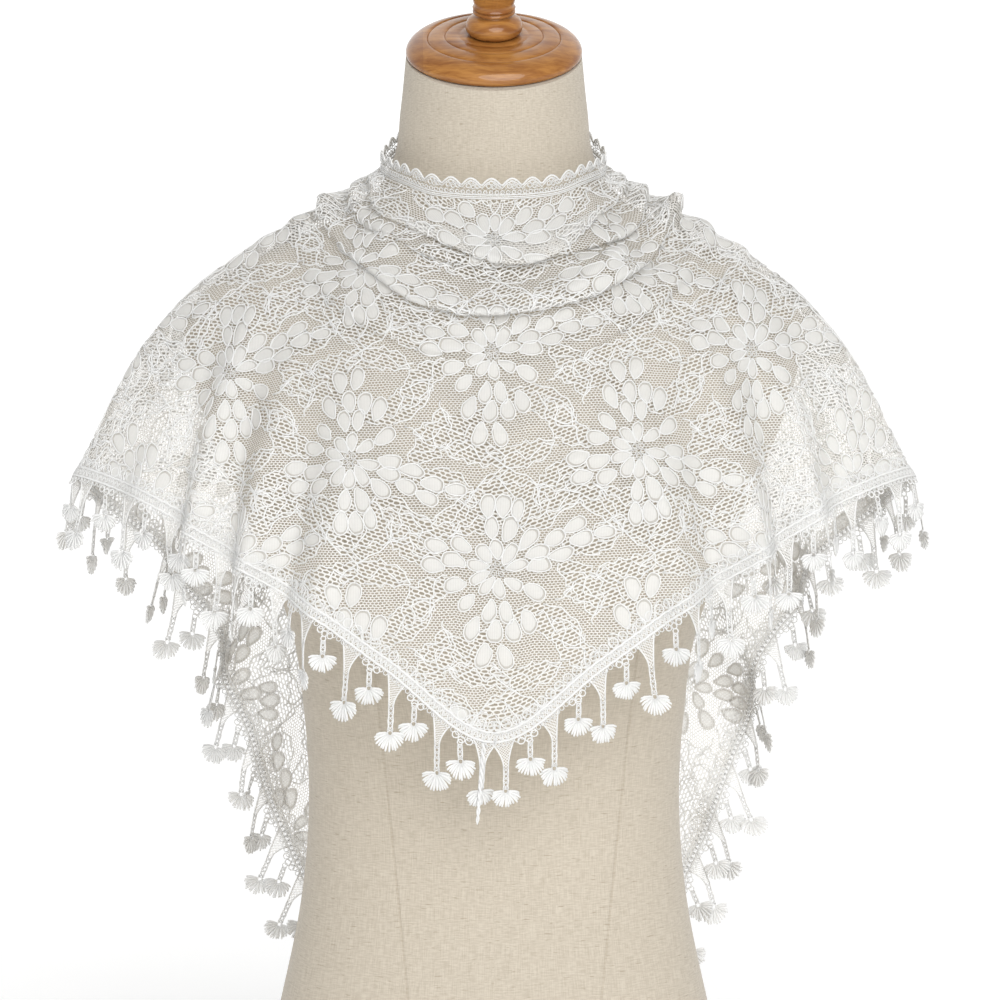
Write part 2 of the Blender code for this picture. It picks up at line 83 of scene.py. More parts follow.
REST_GAP = 0.0016


def smooth(knots, values, places):
    """Reads, at the given places, the smooth curve that passes through values at the knots."""
    knots, values, places = (np.asarray(x, float) for x in (knots, values, places))
    span = np.diff(knots)[:, None]
    slope = np.diff(values, axis=0) / span
    tangent = np.concatenate([slope[:1], slope[:-1], slope[-1:]])
    inner = slope[:-1] * span[1:] + slope[1:] * span[:-1]
    tangent[1:-1] = inner / (span[1:] + span[:-1])
    k = np.clip(np.searchsorted(knots, places, side="right") - 1, 0, len(knots) - 2)
    f = ((places - knots[k]) / span[k, 0])[..., None]
    width = span[k]
    a = (1 + 2 * f) * (1 - f) ** 2 * values[k]
    b = f * (1 - f) ** 2 * width * tangent[k]
    c = f * f * (3 - 2 * f) * values[k + 1]
    d = f * f * (f - 1) * width * tangent[k + 1]
    return a + b + c + d


def unit(vectors):
    length = np.linalg.norm(vectors, axis=-1, keepdims=True)
    return vectors / np.maximum(length, 1e-9)


def ring_at(height):
    """Half width, front, back, roundness and lean of the form at these heights."""
    flat = smooth(FORM_HEIGHTS, FORM_VALUES, np.clip(height, 0, FORM_HEIGHTS[-1]))
    return [flat[..., i] for i in range(5)]


def form_share(points):
    """Where points lie against the form's skin: under 1 inside it, over 1 outside."""
    x, y, z = (points[..., i] for i in range(3))
    height = z
    for _ in range(3):
        height = z - np.tan(np.radians(ring_at(height)[4])) * y
    half_width, front, back, roundness, _ = ring_at(height)
    depth = np.where(y < 0, front, back)
    share = (np.abs(x) / half_width) ** roundness + (np.abs(y) / depth) ** roundness
    return np.maximum(share, 1e-9) ** (1 / roundness)


def form_distance(points):
    """Distance from the form's skin and the way out of it."""
    step = 0.0005
    here = form_share(points)
    slopes = [(form_share(points + step * axis) - here) / step for axis in np.eye(3)]
    slope = np.stack(slopes, axis=-1)
    steepness = np.maximum(np.linalg.norm(slope, axis=-1, keepdims=True), 1.0)
    return ((here - 1)[..., None] / steepness), unit(slope)


def clear_of_form(points, gap, softness=0.0):
    """Moves points that lie in the form, or too near it, out to the gap."""
    if softness:
        distance, way = form_distance(points)
        over = np.logaddexp(0, (distance - gap) / softness) * softness
        points = points + way * (gap + over - distance)
    for _ in range(4):
        distance, way = form_distance(points)
        points = points + way * np.maximum(gap - distance, 0)
    return points


print("form:", len(FORM), "rings, waist", 2 * min(row[1] for row in FORM[:12]), "m wide")

# %% [markdown]
# ## Fourteen cords, and the folds between them
# A worn triangle of cloth hangs from the neck in long falls. A cloth simulation could find
# them, but its folds would never be those of the picture. Here the falls are told in tables
# instead. Each row of DRAPE is one cord, given by four points of it. COWL holds the deep folds
# that lie round the neck, SWAGS the rolls over the shoulders and the shallow creases, and
# FLUTES the upright waves at the hem. All of them are soft bumps that lift the cloth along its
# own normals, and the deep folds also slide down a little over the cloth below.

# %% Cords of the drape
DRAPE = [
    # start x y z, over x y z, hang x y z, end x y z
    (0.000, -0.067, 0.630, 0.000, -0.104, 0.545, 0.000, -0.138, 0.410, 0.000, -0.141, 0.320),
    (0.034, -0.059, 0.632, 0.046, -0.100, 0.550, 0.056, -0.133, 0.430, 0.062, -0.137, 0.362),
    (0.052, -0.042, 0.638, 0.086, -0.080, 0.560, 0.108, -0.114, 0.460, 0.120, -0.121, 0.402),
    (0.058, -0.023, 0.640, 0.124, -0.048, 0.563, 0.155, -0.078, 0.487, 0.164, -0.094, 0.427),
    (0.062, -0.006, 0.642, 0.148, -0.022, 0.584, 0.184, -0.036, 0.530, 0.205, -0.052, 0.451),
    (0.062, 0.010, 0.645, 0.158, 0.002, 0.590, 0.204, 0.001, 0.550, 0.254, -0.002, 0.463),
    (0.057, 0.028, 0.654, 0.150, 0.036, 0.582, 0.199, 0.039, 0.524, 0.236, 0.034, 0.442),
    (0.043, 0.049, 0.665, 0.132, 0.072, 0.548, 0.176, 0.080, 0.468, 0.200, 0.068, 0.402),
    (0.019, 0.063, 0.675, 0.092, 0.098, 0.530, 0.148, 0.106, 0.425, 0.175, 0.092, 0.354),
    (0.020, 0.092, 0.600, 0.074, 0.115, 0.470, 0.128, 0.117, 0.370, 0.160, 0.108, 0.304),
    (0.022, 0.115, 0.500, 0.064, 0.123, 0.400, 0.109, 0.121, 0.313, 0.145, 0.117, 0.254),
    (0.024, 0.121, 0.397, 0.053, 0.126, 0.320, 0.091, 0.125, 0.254, 0.128, 0.121, 0.210),
    (0.027, 0.124, 0.289, 0.046, 0.128, 0.242, 0.076, 0.128, 0.200, 0.106, 0.125, 0.168),
    (0.040, 0.128, 0.134, 0.044, 0.129, 0.130, 0.052, 0.130, 0.120, 0.057, 0.130, 0.113),
]
MIDDLE = len(DRAPE) - 1
NAPE_ROW = 8
print("drape:", len(DRAPE), "cords on each side")

# %% Folds at the neck and flutes at the hem
COWL = [
    # down left, middle, right, height left, middle, right, half_width, droop, waver
    (0.008, 0.014, 0.011, 0.0045, 0.0072, 0.0055, 0.0085, 3.30, 0.4),
    (0.021, 0.036, 0.027, 0.0062, 0.0030, 0.0100, 0.0085, 1.70, 2.1),
    (0.039, 0.062, 0.045, 0.0075, 0.0062, 0.0120, 0.0100, 1.90, 4.0),
    (0.060, 0.096, 0.068, 0.0030, 0.0036, 0.0060, 0.0120, 1.20, 5.2),
    (0.085, 0.134, 0.096, 0.0010, 0.0022, 0.0035, 0.0120, 1.00, 1.2),
]
COWL_REACH = 0.300
COWL_FADE = 0.110
COWL_STRAY = 0.0022
COWL_UNEVEN = 0.22
SLIDE_REACH = 0.235
SWAGS = [
    # place, down, half_length, half_width, height, slant, sag
    (0.118, 0.052, 0.062, 0.0130, 0.0080, 0.00, 0.0),
    (-0.122, 0.036, 0.058, 0.0100, 0.0055, -0.05, 0.0),
    (-0.020, 0.036, 0.110, 0.0042, 0.0021, 0.02, -0.6),
    (0.090, 0.030, 0.090, 0.0040, 0.0024, -0.08, -0.4),
    (-0.120, 0.020, 0.080, 0.0038, 0.0022, 0.07, -0.3),
    (0.050, 0.055, 0.100, 0.0045, 0.0020, 0.03, -0.5),
    (-0.080, 0.050, 0.095, 0.0042, 0.0020, 0.05, -0.5),
    (0.150, 0.048, 0.070, 0.0046, 0.0030, -0.14, -0.2),
    (0.170, 0.072, 0.080, 0.0052, 0.0026, -0.16, -0.2),
    (-0.170, 0.040, 0.080, 0.0044, 0.0024, 0.10, -0.2),
    (-0.190, 0.066, 0.090, 0.0050, 0.0018, 0.13, -0.2),
    (0.010, 0.081, 0.120, 0.0050, 0.0014, -0.02, -0.5),
    (0.230, 0.030, 0.060, 0.0044, 0.0028, -0.06, 0.0),
    (-0.240, 0.024, 0.060, 0.0042, 0.0026, 0.05, 0.0),
    (-0.030, 0.140, 0.110, 0.0070, 0.0016, 0.05, -0.5),
    (0.080, 0.165, 0.090, 0.0080, 0.0012, -0.12, -0.3),
]
FLUTES = [
    # side, place, height, half_width, start
    (-1, 0.126, 0.0070, 0.012, 0.55),
    (-1, 0.152, -0.0090, 0.012, 0.50),
    (-1, 0.176, 0.0120, 0.011, 0.40),
    (-1, 0.198, -0.0110, 0.011, 0.38),
    (-1, 0.221, 0.0100, 0.011, 0.35),
    (-1, 0.245, -0.0080, 0.012, 0.40),
    (-1, 0.274, 0.0050, 0.015, 0.45),
    (1, 0.134, 0.0080, 0.013, 0.55),
    (1, 0.163, -0.0100, 0.013, 0.45),
    (1, 0.190, 0.0110, 0.012, 0.35),
    (1, 0.216, -0.0100, 0.012, 0.38),
    (1, 0.243, 0.0080, 0.013, 0.45),
    (1, 0.272, -0.0050, 0.015, 0.50),
    (-1, 0.388, 0.0090, 0.018, 0.25),
    (-1, 0.430, -0.0070, 0.018, 0.20),
    (-1, 0.462, 0.0120, 0.019, 0.15),
    (-1, 0.502, -0.0090, 0.020, 0.10),
    (-1, 0.545, 0.0100, 0.021, 0.05),
    (-1, 0.590, -0.0070, 0.022, 0.05),
    (-1, 0.640, 0.0060, 0.024, 0.05),
    (1, 0.364, -0.0050, 0.018, 0.25),
    (1, 0.396, 0.0065, 0.018, 0.20),
    (1, 0.440, -0.0080, 0.020, 0.15),
    (1, 0.486, 0.0110, 0.020, 0.10),
    (1, 0.530, -0.0090, 0.021, 0.05),
    (1, 0.576, 0.0080, 0.022, 0.05),
    (1, 0.626, -0.0060, 0.024, 0.05),
]
print("folds:", len(COWL), "deep,", len(SWAGS), "shallow,", len(FLUTES), "flutes")


# %% Measure along the fringed edge
def both_sides(rows):
    """The drape's rows with their mirror images, from the left tail to the right one."""
    right = np.array(rows).reshape(len(rows), 4, 3)
    left = right[:0:-1] * [-1, 1, 1]
    return np.concatenate([left, right])


def run_along(line):
    """Distance from the line's first point to each of its points."""
    steps = np.linalg.norm(np.diff(line, axis=0), axis=-1)
    return np.concatenate([[0], np.cumsum(steps)])


SECTIONS = both_sides(DRAPE)
PLACES = run_along(SECTIONS[:, 3])
PLACES = PLACES - PLACES[MIDDLE]
NAPE = PLACES[MIDDLE + NAPE_ROW]
TAIL = PLACES[-1]
print("fringed edge:", round(2 * TAIL, 3), "m, nape at", round(NAPE, 3))


# %% Height of the folds
def rounded(t):
    """A soft bump: 1 at 0, nothing past -1 and 1."""
    return np.where(np.abs(t) < 1, np.cos(np.clip(t, -1, 1) * math.pi / 2) ** 2, 0)


def cowl_height(place, down):
    """How far the folds lift the cloth at this place along the edge and way down, and how far
    they let it slide down over the fold below."""
    lift, slide = np.zeros_like(place), np.zeros_like(place)
    across = np.clip(place, -COWL_REACH, COWL_REACH)
    fades = np.clip((COWL_REACH + COWL_FADE - np.abs(place)) / COWL_FADE, 0, 1)
    fades = fades**2 * (3 - 2 * fades)
    front = np.clip(1 - (place / SLIDE_REACH) ** 2, 0, 1)
    for *numbers, half_width, droop, waver in COWL:
        knots = np.array(numbers).reshape(2, 3).T
        ridge = smooth([-COWL_REACH, 0, COWL_REACH], knots, across)
        middle = ridge[..., 0] + COWL_STRAY * np.sin(place * 31 + waver)
        height = ridge[..., 1] * (1 + COWL_UNEVEN * np.sin(place * 23 + 2 * waver))
        away = (down - middle) / half_width
        away = np.where(away < 0, away / 1.2, away / 0.8)
        lift = lift + height * rounded(away) * fades
        slide = slide + height * droop * rounded(away) * front
    for centre, low, half_length, half_width, height, slant, sag in SWAGS:
        off = place - centre
        away = down - low - slant * off - sag * off**2
        lift = lift + height * rounded(away / half_width) * rounded(off / half_length)
    return lift, slide


def flute_height(place, share):
    """How far the flutes move the cloth at this place along the edge and share of the way."""
    lift = np.zeros_like(place)
    for side, centre, height, half_width, start in FLUTES:
        grows = np.clip((share - start) / (1 - start), 0, 1) ** 1.3
        lift = lift + height * grows * rounded((place - side * centre) / (1.25 * half_width))
    return lift


print("highest fold:", max(max(row[3:6]) for row in COWL), "m")

# %% Drape the sheet
DRAPE_SOFTNESS = 0.004


def grid_normals(points):
    """Outward normals of a grid of points. Its first axis runs from left to right."""
    return unit(np.cross(np.gradient(points, axis=1), np.gradient(points, axis=0)))


def drape(places, shares):
    """Grid of points of the cloth at places along the fringed edge and shares across."""
    knots = smooth(PLACES, SECTIONS.reshape(len(SECTIONS), 12), places).reshape(-1, 4, 3)
    grid = np.empty((len(places), len(shares), 3))
    for i, knot in enumerate(knots):
        run = run_along(knot)
        grid[i] = smooth(run / run[-1], knot, shares)
    grid = clear_of_form(grid, REST_GAP, DRAPE_SOFTNESS)
    place = np.repeat(places[:, None], len(shares), axis=1)
    share = np.repeat(shares[None, :], len(places), axis=0)
    steps = np.linalg.norm(np.diff(grid, axis=1), axis=2)
    down = np.concatenate([np.zeros((len(places), 1)), np.cumsum(steps, axis=1)], axis=1)
    cowl, slide = cowl_height(place, down)
    fall = unit(np.gradient(grid, axis=1)) * slide[..., None]
    lifted = grid_normals(grid) * (cowl + flute_height(place, share))[..., None]
    return clear_of_form(grid + lifted + fall, REST_GAP)


print("the cloth keeps", REST_GAP * 1000, "mm off the form")

# %% [markdown]
# ## Signs in place of Math nodes
# A material's numbers are easier to read as sums than as boxes and wires. The class below
# wraps one output of a node. Python's own signs then add the Math nodes, also where the plain
# number stands first, as in 1 - mask.

# %% A value and a material
class Value:
    """One output of a material's nodes, joined to others by Python's own signs."""

    def __init__(self, paint, socket):
        self.paint = paint
        self.socket = socket

    def math(self, operation, *others):
        return self.paint.node("ShaderNodeMath", {"operation": operation}, (self, *others))

    def turned_math(self, operation, first):
        return self.paint.node("ShaderNodeMath", {"operation": operation}, (first, self))

    def __add__(self, other):
        return self.math("ADD", other)

    def __sub__(self, other):
        return self.math("SUBTRACT", other)

    def __mul__(self, other):
        return self.math("MULTIPLY", other)

    def __truediv__(self, other):
        return self.math("DIVIDE", other)

    def __pow__(self, other):
        return self.math("POWER", other)

    def __mod__(self, other):
        return self.math("FLOORED_MODULO", other)

    def __lt__(self, other):
        return self.math("LESS_THAN", other)

    def __gt__(self, other):
        return self.math("GREATER_THAN", other)

    def __abs__(self):
        return self.math("ABSOLUTE")

    def __radd__(self, other):
        return self.turned_math("ADD", other)

    def __rsub__(self, other):
        return self.turned_math("SUBTRACT", other)

    def __rmul__(self, other):
        return self.turned_math("MULTIPLY", other)

    def __rtruediv__(self, other):
        return self.turned_math("DIVIDE", other)

    def smoother(self, low, high):
        """0 below low, 1 above high, and soft between."""
        settings = {"interpolation_type": "SMOOTHSTEP"}
        return self.paint.node("ShaderNodeMapRange", settings, (self, low, high, 0.0, 1.0))


class Paint:
    """A material and its nodes, with one method for every kind of node."""

    def __init__(self, name, roughness, sheen=0.0, coat=0.0):
        self.material = bpy.data.materials.new(name)
        self.material.use_nodes = True
        self.tree = self.material.node_tree
        self.shader = self.tree.nodes["Principled BSDF"]
        self.shader.inputs["Roughness"].default_value = roughness
        self.shader.inputs["Sheen Weight"].default_value = sheen
        self.shader.inputs["Coat Weight"].default_value = coat

    def node(self, kind, settings=(), values=(), output=0):
        """Any node: its kind, its settings, the values or links of its sockets."""
        made = self.tree.nodes.new(kind)
        for name, value in dict(settings).items():
            if name == "stops":
                for stop, (place, colour) in zip(made.color_ramp.elements, value):
                    stop.position, stop.color = place, (*colour, 1)
            else:
                setattr(made, name, value)
        pairs = values.items() if isinstance(values, dict) else enumerate(values)
        for name, value in pairs:
            self.plug(made.inputs[name], value)
        return Value(self, made.outputs[output])

    def plug(self, socket, value):
        if isinstance(value, Value):
            self.tree.links.new(value.socket, socket)
        elif value is not None:
            socket.default_value = value

    def feed(self, name, value):
        self.plug(self.shader.inputs[name], value)

    def mix(self, factor, first, second):
        """The first colour where factor is 0 and the second where it is 1."""
        colours = {0: factor, 6: first, 7: second}
        return self.node("ShaderNodeMix", {"data_type": "RGBA"}, colours, 2)

    def parts(self, vector):
        """The three numbers of a vector."""
        return [self.node("ShaderNodeSeparateXYZ", (), (vector,), i) for i in range(3)]

    def noise(self, vector, scale, detail=2.0, roughness=0.5):
        values = {"Vector": vector, "Scale": scale, "Detail": detail, "Roughness": roughness}
        return self.node("ShaderNodeTexNoise", (), values)

    def bump(self, height, strength, distance):
        values = {"Strength": strength, "Distance": distance, "Height": height}
        self.feed("Normal", self.node("ShaderNodeBump", (), values))

    def let_light_through(self, share, colour):
        """Lets a share of the light pass through to the far side, as thin thread does."""
        glow = self.node("ShaderNodeBsdfTranslucent", (), {"Color": colour})
        values = {0: share, 1: Value(self, self.shader.outputs[0]), 2: glow}
        mixed = self.node("ShaderNodeMixShader", (), values)
        self.plug(self.tree.nodes["Material Output"].inputs["Surface"], mixed)

    def stored(self, name):
        """What a piece's points carry under this name."""
        return self.node("ShaderNodeAttribute", {"attribute_name": name}, (), 1)


def rgb(red, green, blue):
    """A colour for a socket."""
    return (red, green, blue, 1.0)


print("the signs are ready")

# %% [markdown]
# ## From points to a piece
# Every part of the lesson ends in a mesh. One function makes them all, so that each piece rides on
# the form, takes its material, and hides the solids that it stands for. The lace also carries its
# place on the flat cloth with every point, and the finishes draw by that place.

# %% Make a piece
def make_piece(name, vertices, faces, paint, stands_for, slot, shade_smooth=True):
    """A mesh piece that rides on the form, stands for its solids and takes their finish."""
    mesh = bpy.data.meshes.new(name)
    mesh.from_pydata(np.asarray(vertices).tolist(), [], faces)
    mesh.update()
    if shade_smooth:
        mesh.shade_smooth()
    mesh.materials.append(paint.material)
    piece = bpy.data.objects.new(name, mesh)
    bpy.context.scene.collection.objects.link(piece)
    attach(piece, "root")
    if stands_for:
        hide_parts(*stands_for)
    print(name, len(vertices), "points", len(faces), "faces")
    return piece


def store_flat(piece, spots, inside=None):
    """Keeps with every point its place on the flat cloth, and how far inside a leaf it is."""
    inside = np.zeros(len(spots)) if inside is None else inside
    values = np.concatenate([spots, inside[:, None]], axis=1)
    layer = piece.data.attributes.new("flat", "FLOAT_VECTOR", "POINT")
    layer.data.foreach_set("vector", np.asarray(values, np.float32).ravel())


print("pieces can be made")

# %% [markdown]
# ## The dress form
# The real one is a padded shell with a tight cover of natural linen, sewn from panels. The
# cover follows the solid's rings, cut here into many more sides so that its outline is round.
# Linen is never even: its threads swell into slubs, mostly along the weft, which runs round
# the body. Those slubs are the detail that the eye reads as linen, so they are drawn as thin
# dark streaks over a fine weave.

# %% Linen
SEAM_LINES = [
    # side of the body, x at the waist, x that it gains for each metre up
    (-1, -0.062, -0.10),
    (-1, 0.075, 0.10),
    (1, -0.060, -0.10),
    (1, 0.060, 0.10),
]


def linen_paint():
    paint = Paint("linen_cover", 0.85, sheen=0.15)
    place = paint.node("ShaderNodeTexCoord", (), (), 3)
    x, y, z = paint.parts(place)
    around = paint.node("ShaderNodeMath", {"operation": "ARCTAN2"}, (x, y)) * 0.13
    waver = paint.noise(place, 14.0) * 0.004

    def threads(across, along, depth, detail=2.0):
        run = paint.node("ShaderNodeCombineXYZ", (), (across, along, depth))
        return paint.noise(run, 1.0, detail, 0.6)

    weft = threads(around * 130.0, (z + waver) * 1300.0, 0.0)
    warp = threads(around * 1300.0, z * 90.0, 4.0)
    slub = threads(around * 85.0, (z + waver) * 800.0, 9.0, 1.0)
    long_slub = threads(around * 900.0, z * 70.0, 14.0, 1.0)
    cloudy = paint.noise(place, 22.0, 3.0, 0.6)
    base = paint.mix(cloudy, rgb(0.472, 0.418, 0.338), rgb(0.510, 0.454, 0.372))
    woven = (weft * 0.55 + warp * 0.45).smoother(0.36, 0.64)
    crossing = paint.mix(woven, rgb(0.388, 0.334, 0.262), rgb(0.590, 0.534, 0.444))
    base = paint.mix(0.55, base, crossing)
    base = paint.mix(slub.smoother(0.66, 0.74) * 0.50, base, rgb(0.27, 0.215, 0.150))
    base = paint.mix(long_slub.smoother(0.68, 0.76) * 0.30, base, rgb(0.36, 0.295, 0.215))
    seams = 0.0
    for side, start, gain in SEAM_LINES:
        away = abs(x - start - z * gain + 0.26 * gain)
        line = (1 - away.smoother(0.0004, 0.0011)) * ((y * side) > 0.0)
        seams = line + seams
    stitch = ((z * 1000.0 / 2.8).math("FRACT") < 0.45) * seams
    base = paint.mix(seams * 0.18 + stitch * 0.16, base, rgb(0.32, 0.26, 0.19))
    paint.feed("Base Color", base)
    paint.bump(weft + warp + slub - seams * 1.5, 0.35, 0.0004)
    return paint


LINEN = linen_paint()
print("linen:", len(LINEN.tree.nodes), "nodes")

# %% The covered body
TORSO_SIDES = 144
TORSO_LEVELS = 180


def turns(count):
    """Angles of one full turn in equal steps."""
    return np.arange(count) * 2 * math.pi / count


def ring_points(height, sides):
    """One ring of the form, anticlockwise from above."""
    half_width, front, back, roundness, lean = (float(v) for v in ring_at(height))
    angles = turns(sides)
    power = 2 / roundness
    x = half_width * np.sign(np.cos(angles)) * np.abs(np.cos(angles)) ** power
    y = np.sign(np.sin(angles)) * np.abs(np.sin(angles)) ** power
    y = np.where(y < 0, y * front, y * back)
    return np.stack([x, y, height + math.tan(math.radians(lean)) * y], axis=1)


def stacked(rings):
    """Points and faces of a closed solid through rings of points."""
    sides = len(rings[0])
    faces = [tuple(range(sides - 1, -1, -1))]
    for level in range(len(rings) - 1):
        low, high = level * sides, (level + 1) * sides
        for k in range(sides):
            after = (k + 1) % sides
            faces.append((low + k, low + after, high + after, high + k))
    top = (len(rings) - 1) * sides
    faces.append(tuple(range(top, top + sides)))
    return np.concatenate(rings), faces


rings = [ring_points(h, TORSO_SIDES) for h in np.linspace(0, FORM_HEIGHTS[-1], TORSO_LEVELS)]
body = make_piece("form_cover", *stacked(rings), LINEN, ["form_torso"], "linen")
body.data.set_sharp_from_angle(angle=math.radians(60))

# %% [markdown]
# ## The turned cap and finial
# They are turned from a joined plank of orange-brown wood and varnished until they shine. On a
# lathe a profile is cut into a spinning blank, so the same profile is swept round the axis
# here, with fine grooves in it. The varnish is a coat over the wood: the coat gives the sharp
# highlights, and the grain below stays soft.

# %% Varnished wood
NECK_LEAN = math.radians(22.0)
AXIS = np.array([0, -math.sin(NECK_LEAN), math.cos(NECK_LEAN)])
SEAM = 0.0003


def wood_paint():
    paint = Paint("varnished_wood", 0.35, coat=0.5)
    paint.shader.inputs["Coat Roughness"].default_value = 0.05
    paint.shader.inputs["Specular IOR Level"].default_value = 0.2
    place = paint.node("ShaderNodeTexCoord", (), (), 3)
    x, y, z = paint.parts(place)
    swirl = paint.noise(place, 18.0, 2.0, 0.5)
    layers = z * 260.0 + swirl * 5.0
    stretched = paint.node("ShaderNodeCombineXYZ", (), (x * 26.0, y * 60.0, layers))
    grain = paint.noise(stretched, 1.0, 4.0, 0.65)
    pores = paint.node("ShaderNodeCombineXYZ", (), (x * 130.0, y * 300.0, z * 1500.0))
    fine = paint.noise(pores, 1.0, 2.0, 0.6)
    plank = (x + 0.021 + z * 0.03).math("LESS_THAN", 0.0)
    grain = grain.smoother(0.30, 0.72)
    colour = paint.mix(grain, rgb(0.235, 0.083, 0.018), rgb(0.44, 0.200, 0.050))
    colour = paint.mix(fine.smoother(0.50, 0.75) * 0.35, colour, rgb(0.15, 0.050, 0.014))
    colour = paint.mix(plank * 0.35, colour, rgb(0.19, 0.065, 0.018))
    paint.feed("Base Color", colour)
    return paint


WOOD = wood_paint()
print("wood:", len(WOOD.tree.nodes), "nodes")

# %% Turn the cap and the finial
CAP = [
    # radius, height along the leaning axis
    (0.0510, 0.0000), (0.0526, 0.0004), (0.0533, 0.0014), (0.0533, 0.0030), (0.0529, 0.0044),
    (0.0516, 0.0064), (0.0498, 0.0081), (0.0476, 0.0095), (0.0450, 0.0106), (0.0428, 0.0112),
    (0.0415, 0.0114), (0.0408, 0.0112), (0.0403, 0.0105), (0.0398, 0.0110), (0.0390, 0.0116),
    (0.0375, 0.0121), (0.0340, 0.0127), (0.0312, 0.0129), (0.0304, 0.0127), (0.0298, 0.0120),
    (0.0292, 0.0126), (0.0284, 0.0130), (0.0250, 0.0132), (0.0218, 0.0133), (0.0210, 0.0130),
    (0.0204, 0.0133), (0.0175, 0.0134),
]
FINIAL = [
    (0.0140, 0.0000), (0.0156, 0.0010), (0.0168, 0.0025), (0.0173, 0.0044), (0.0172, 0.0062),
    (0.0163, 0.0083), (0.0148, 0.0100), (0.0122, 0.0114), (0.0107, 0.0122), (0.0105, 0.0130),
    (0.0117, 0.0135), (0.0127, 0.0140), (0.0129, 0.0147), (0.0122, 0.0154), (0.0119, 0.0158),
    (0.0127, 0.0165), (0.0130, 0.0173), (0.0124, 0.0182), (0.0121, 0.0190), (0.0127, 0.0215),
    (0.0140, 0.0250), (0.0158, 0.0300), (0.0169, 0.0350), (0.0167, 0.0400), (0.0150, 0.0448),
    (0.0118, 0.0480), (0.0090, 0.0495), (0.0065, 0.0500),
]


def turned(profile, foot, sides):
    """A profile swept round the leaning axis."""
    angles = turns(sides)
    across = np.array([0, math.cos(NECK_LEAN), math.sin(NECK_LEAN)])
    rings = []
    for radius, height in profile:
        ring = foot + AXIS * height + np.outer(np.cos(angles), [radius, 0, 0])
        rings.append(ring + np.outer(np.sin(angles), across) * radius)
    return stacked(rings)


cap_foot = np.array([0, 0, FORM_HEIGHTS[-1]]) + AXIS * SEAM
finial_foot = cap_foot + AXIS * (CAP[-1][1] + SEAM)
cap = make_piece("turned_cap", *turned(CAP, cap_foot, 120), WOOD, ["form_cap"], "varnished_wood")
finial = make_piece(
    "turned_finial", *turned(FINIAL, finial_foot, 72), WOOD, ["form_finial"], "varnished_wood"
)
for piece in (cap, finial):
    piece.data.set_sharp_from_angle(angle=math.radians(50))

# %% [markdown]
# ## The net, draped
# The whole veil is one sheet. It is drawn as a fine grid of points, half a wall's thickness
# out from the solid's inner face. The folds at the neck droop over one another, as real net
# does, so that two or three layers lie over each other there.

# %% Grid of the net
LINES = 433
ROWS = 193
HALF_WALL = 0.0005
COWL_SHARE = 0.36
COWL_STEPS = 0.55

places = np.linspace(-TAIL, TAIL, LINES)
steps = np.linspace(0, 1, ROWS)
shares = np.interp(steps, [0, COWL_STEPS, 1], [0, COWL_SHARE, 1])
grid = drape(places, shares)
grid = grid + grid_normals(grid) * HALF_WALL
print("net:", LINES, "by", ROWS, "points")

# %% [markdown]
# ## Laying the drape out flat
# The pattern is woven before the veil is worn, so it has to be drawn on the flat cloth. Each
# patch of the grid keeps its real lengths, and the patches are laid side by side in the plane,
# each turned to fit its neighbours as well as it can. The work goes round: turn each patch,
# then move the points, until nothing moves. Every point of the drape then knows its place on
# the flat cloth, and flowers drawn there fold and gather with the net.

# %% Lay the cloth flat
PATCH = 8
ROUNDS = 60
GUESS_LONG_EDGE = 0.69
GUESS_HEM = 0.75
GUESS_POINT = 0.45
GUESS_DROP = 0.02


def measured(points, step_i, step_j):
    """Length over the surface from each patch corner to the corner that lies that way."""
    total = 0
    for k in range(PATCH):
        a = points[k * step_i:, k * step_j:]
        b = points[(k + 1) * step_i:, (k + 1) * step_j:]
        size_i, size_j = min(a.shape[0], b.shape[0]), min(a.shape[1], b.shape[1])
        total_step = np.linalg.norm(b[:size_i, :size_j] - a[:size_i, :size_j], axis=2)
        rows = (LINES - 1 - PATCH * step_i) // PATCH + 1
        columns = (ROWS - 1 - PATCH * step_j) // PATCH + 1
        total = total + total_step[::PATCH, ::PATCH][:rows, :columns]
    return total


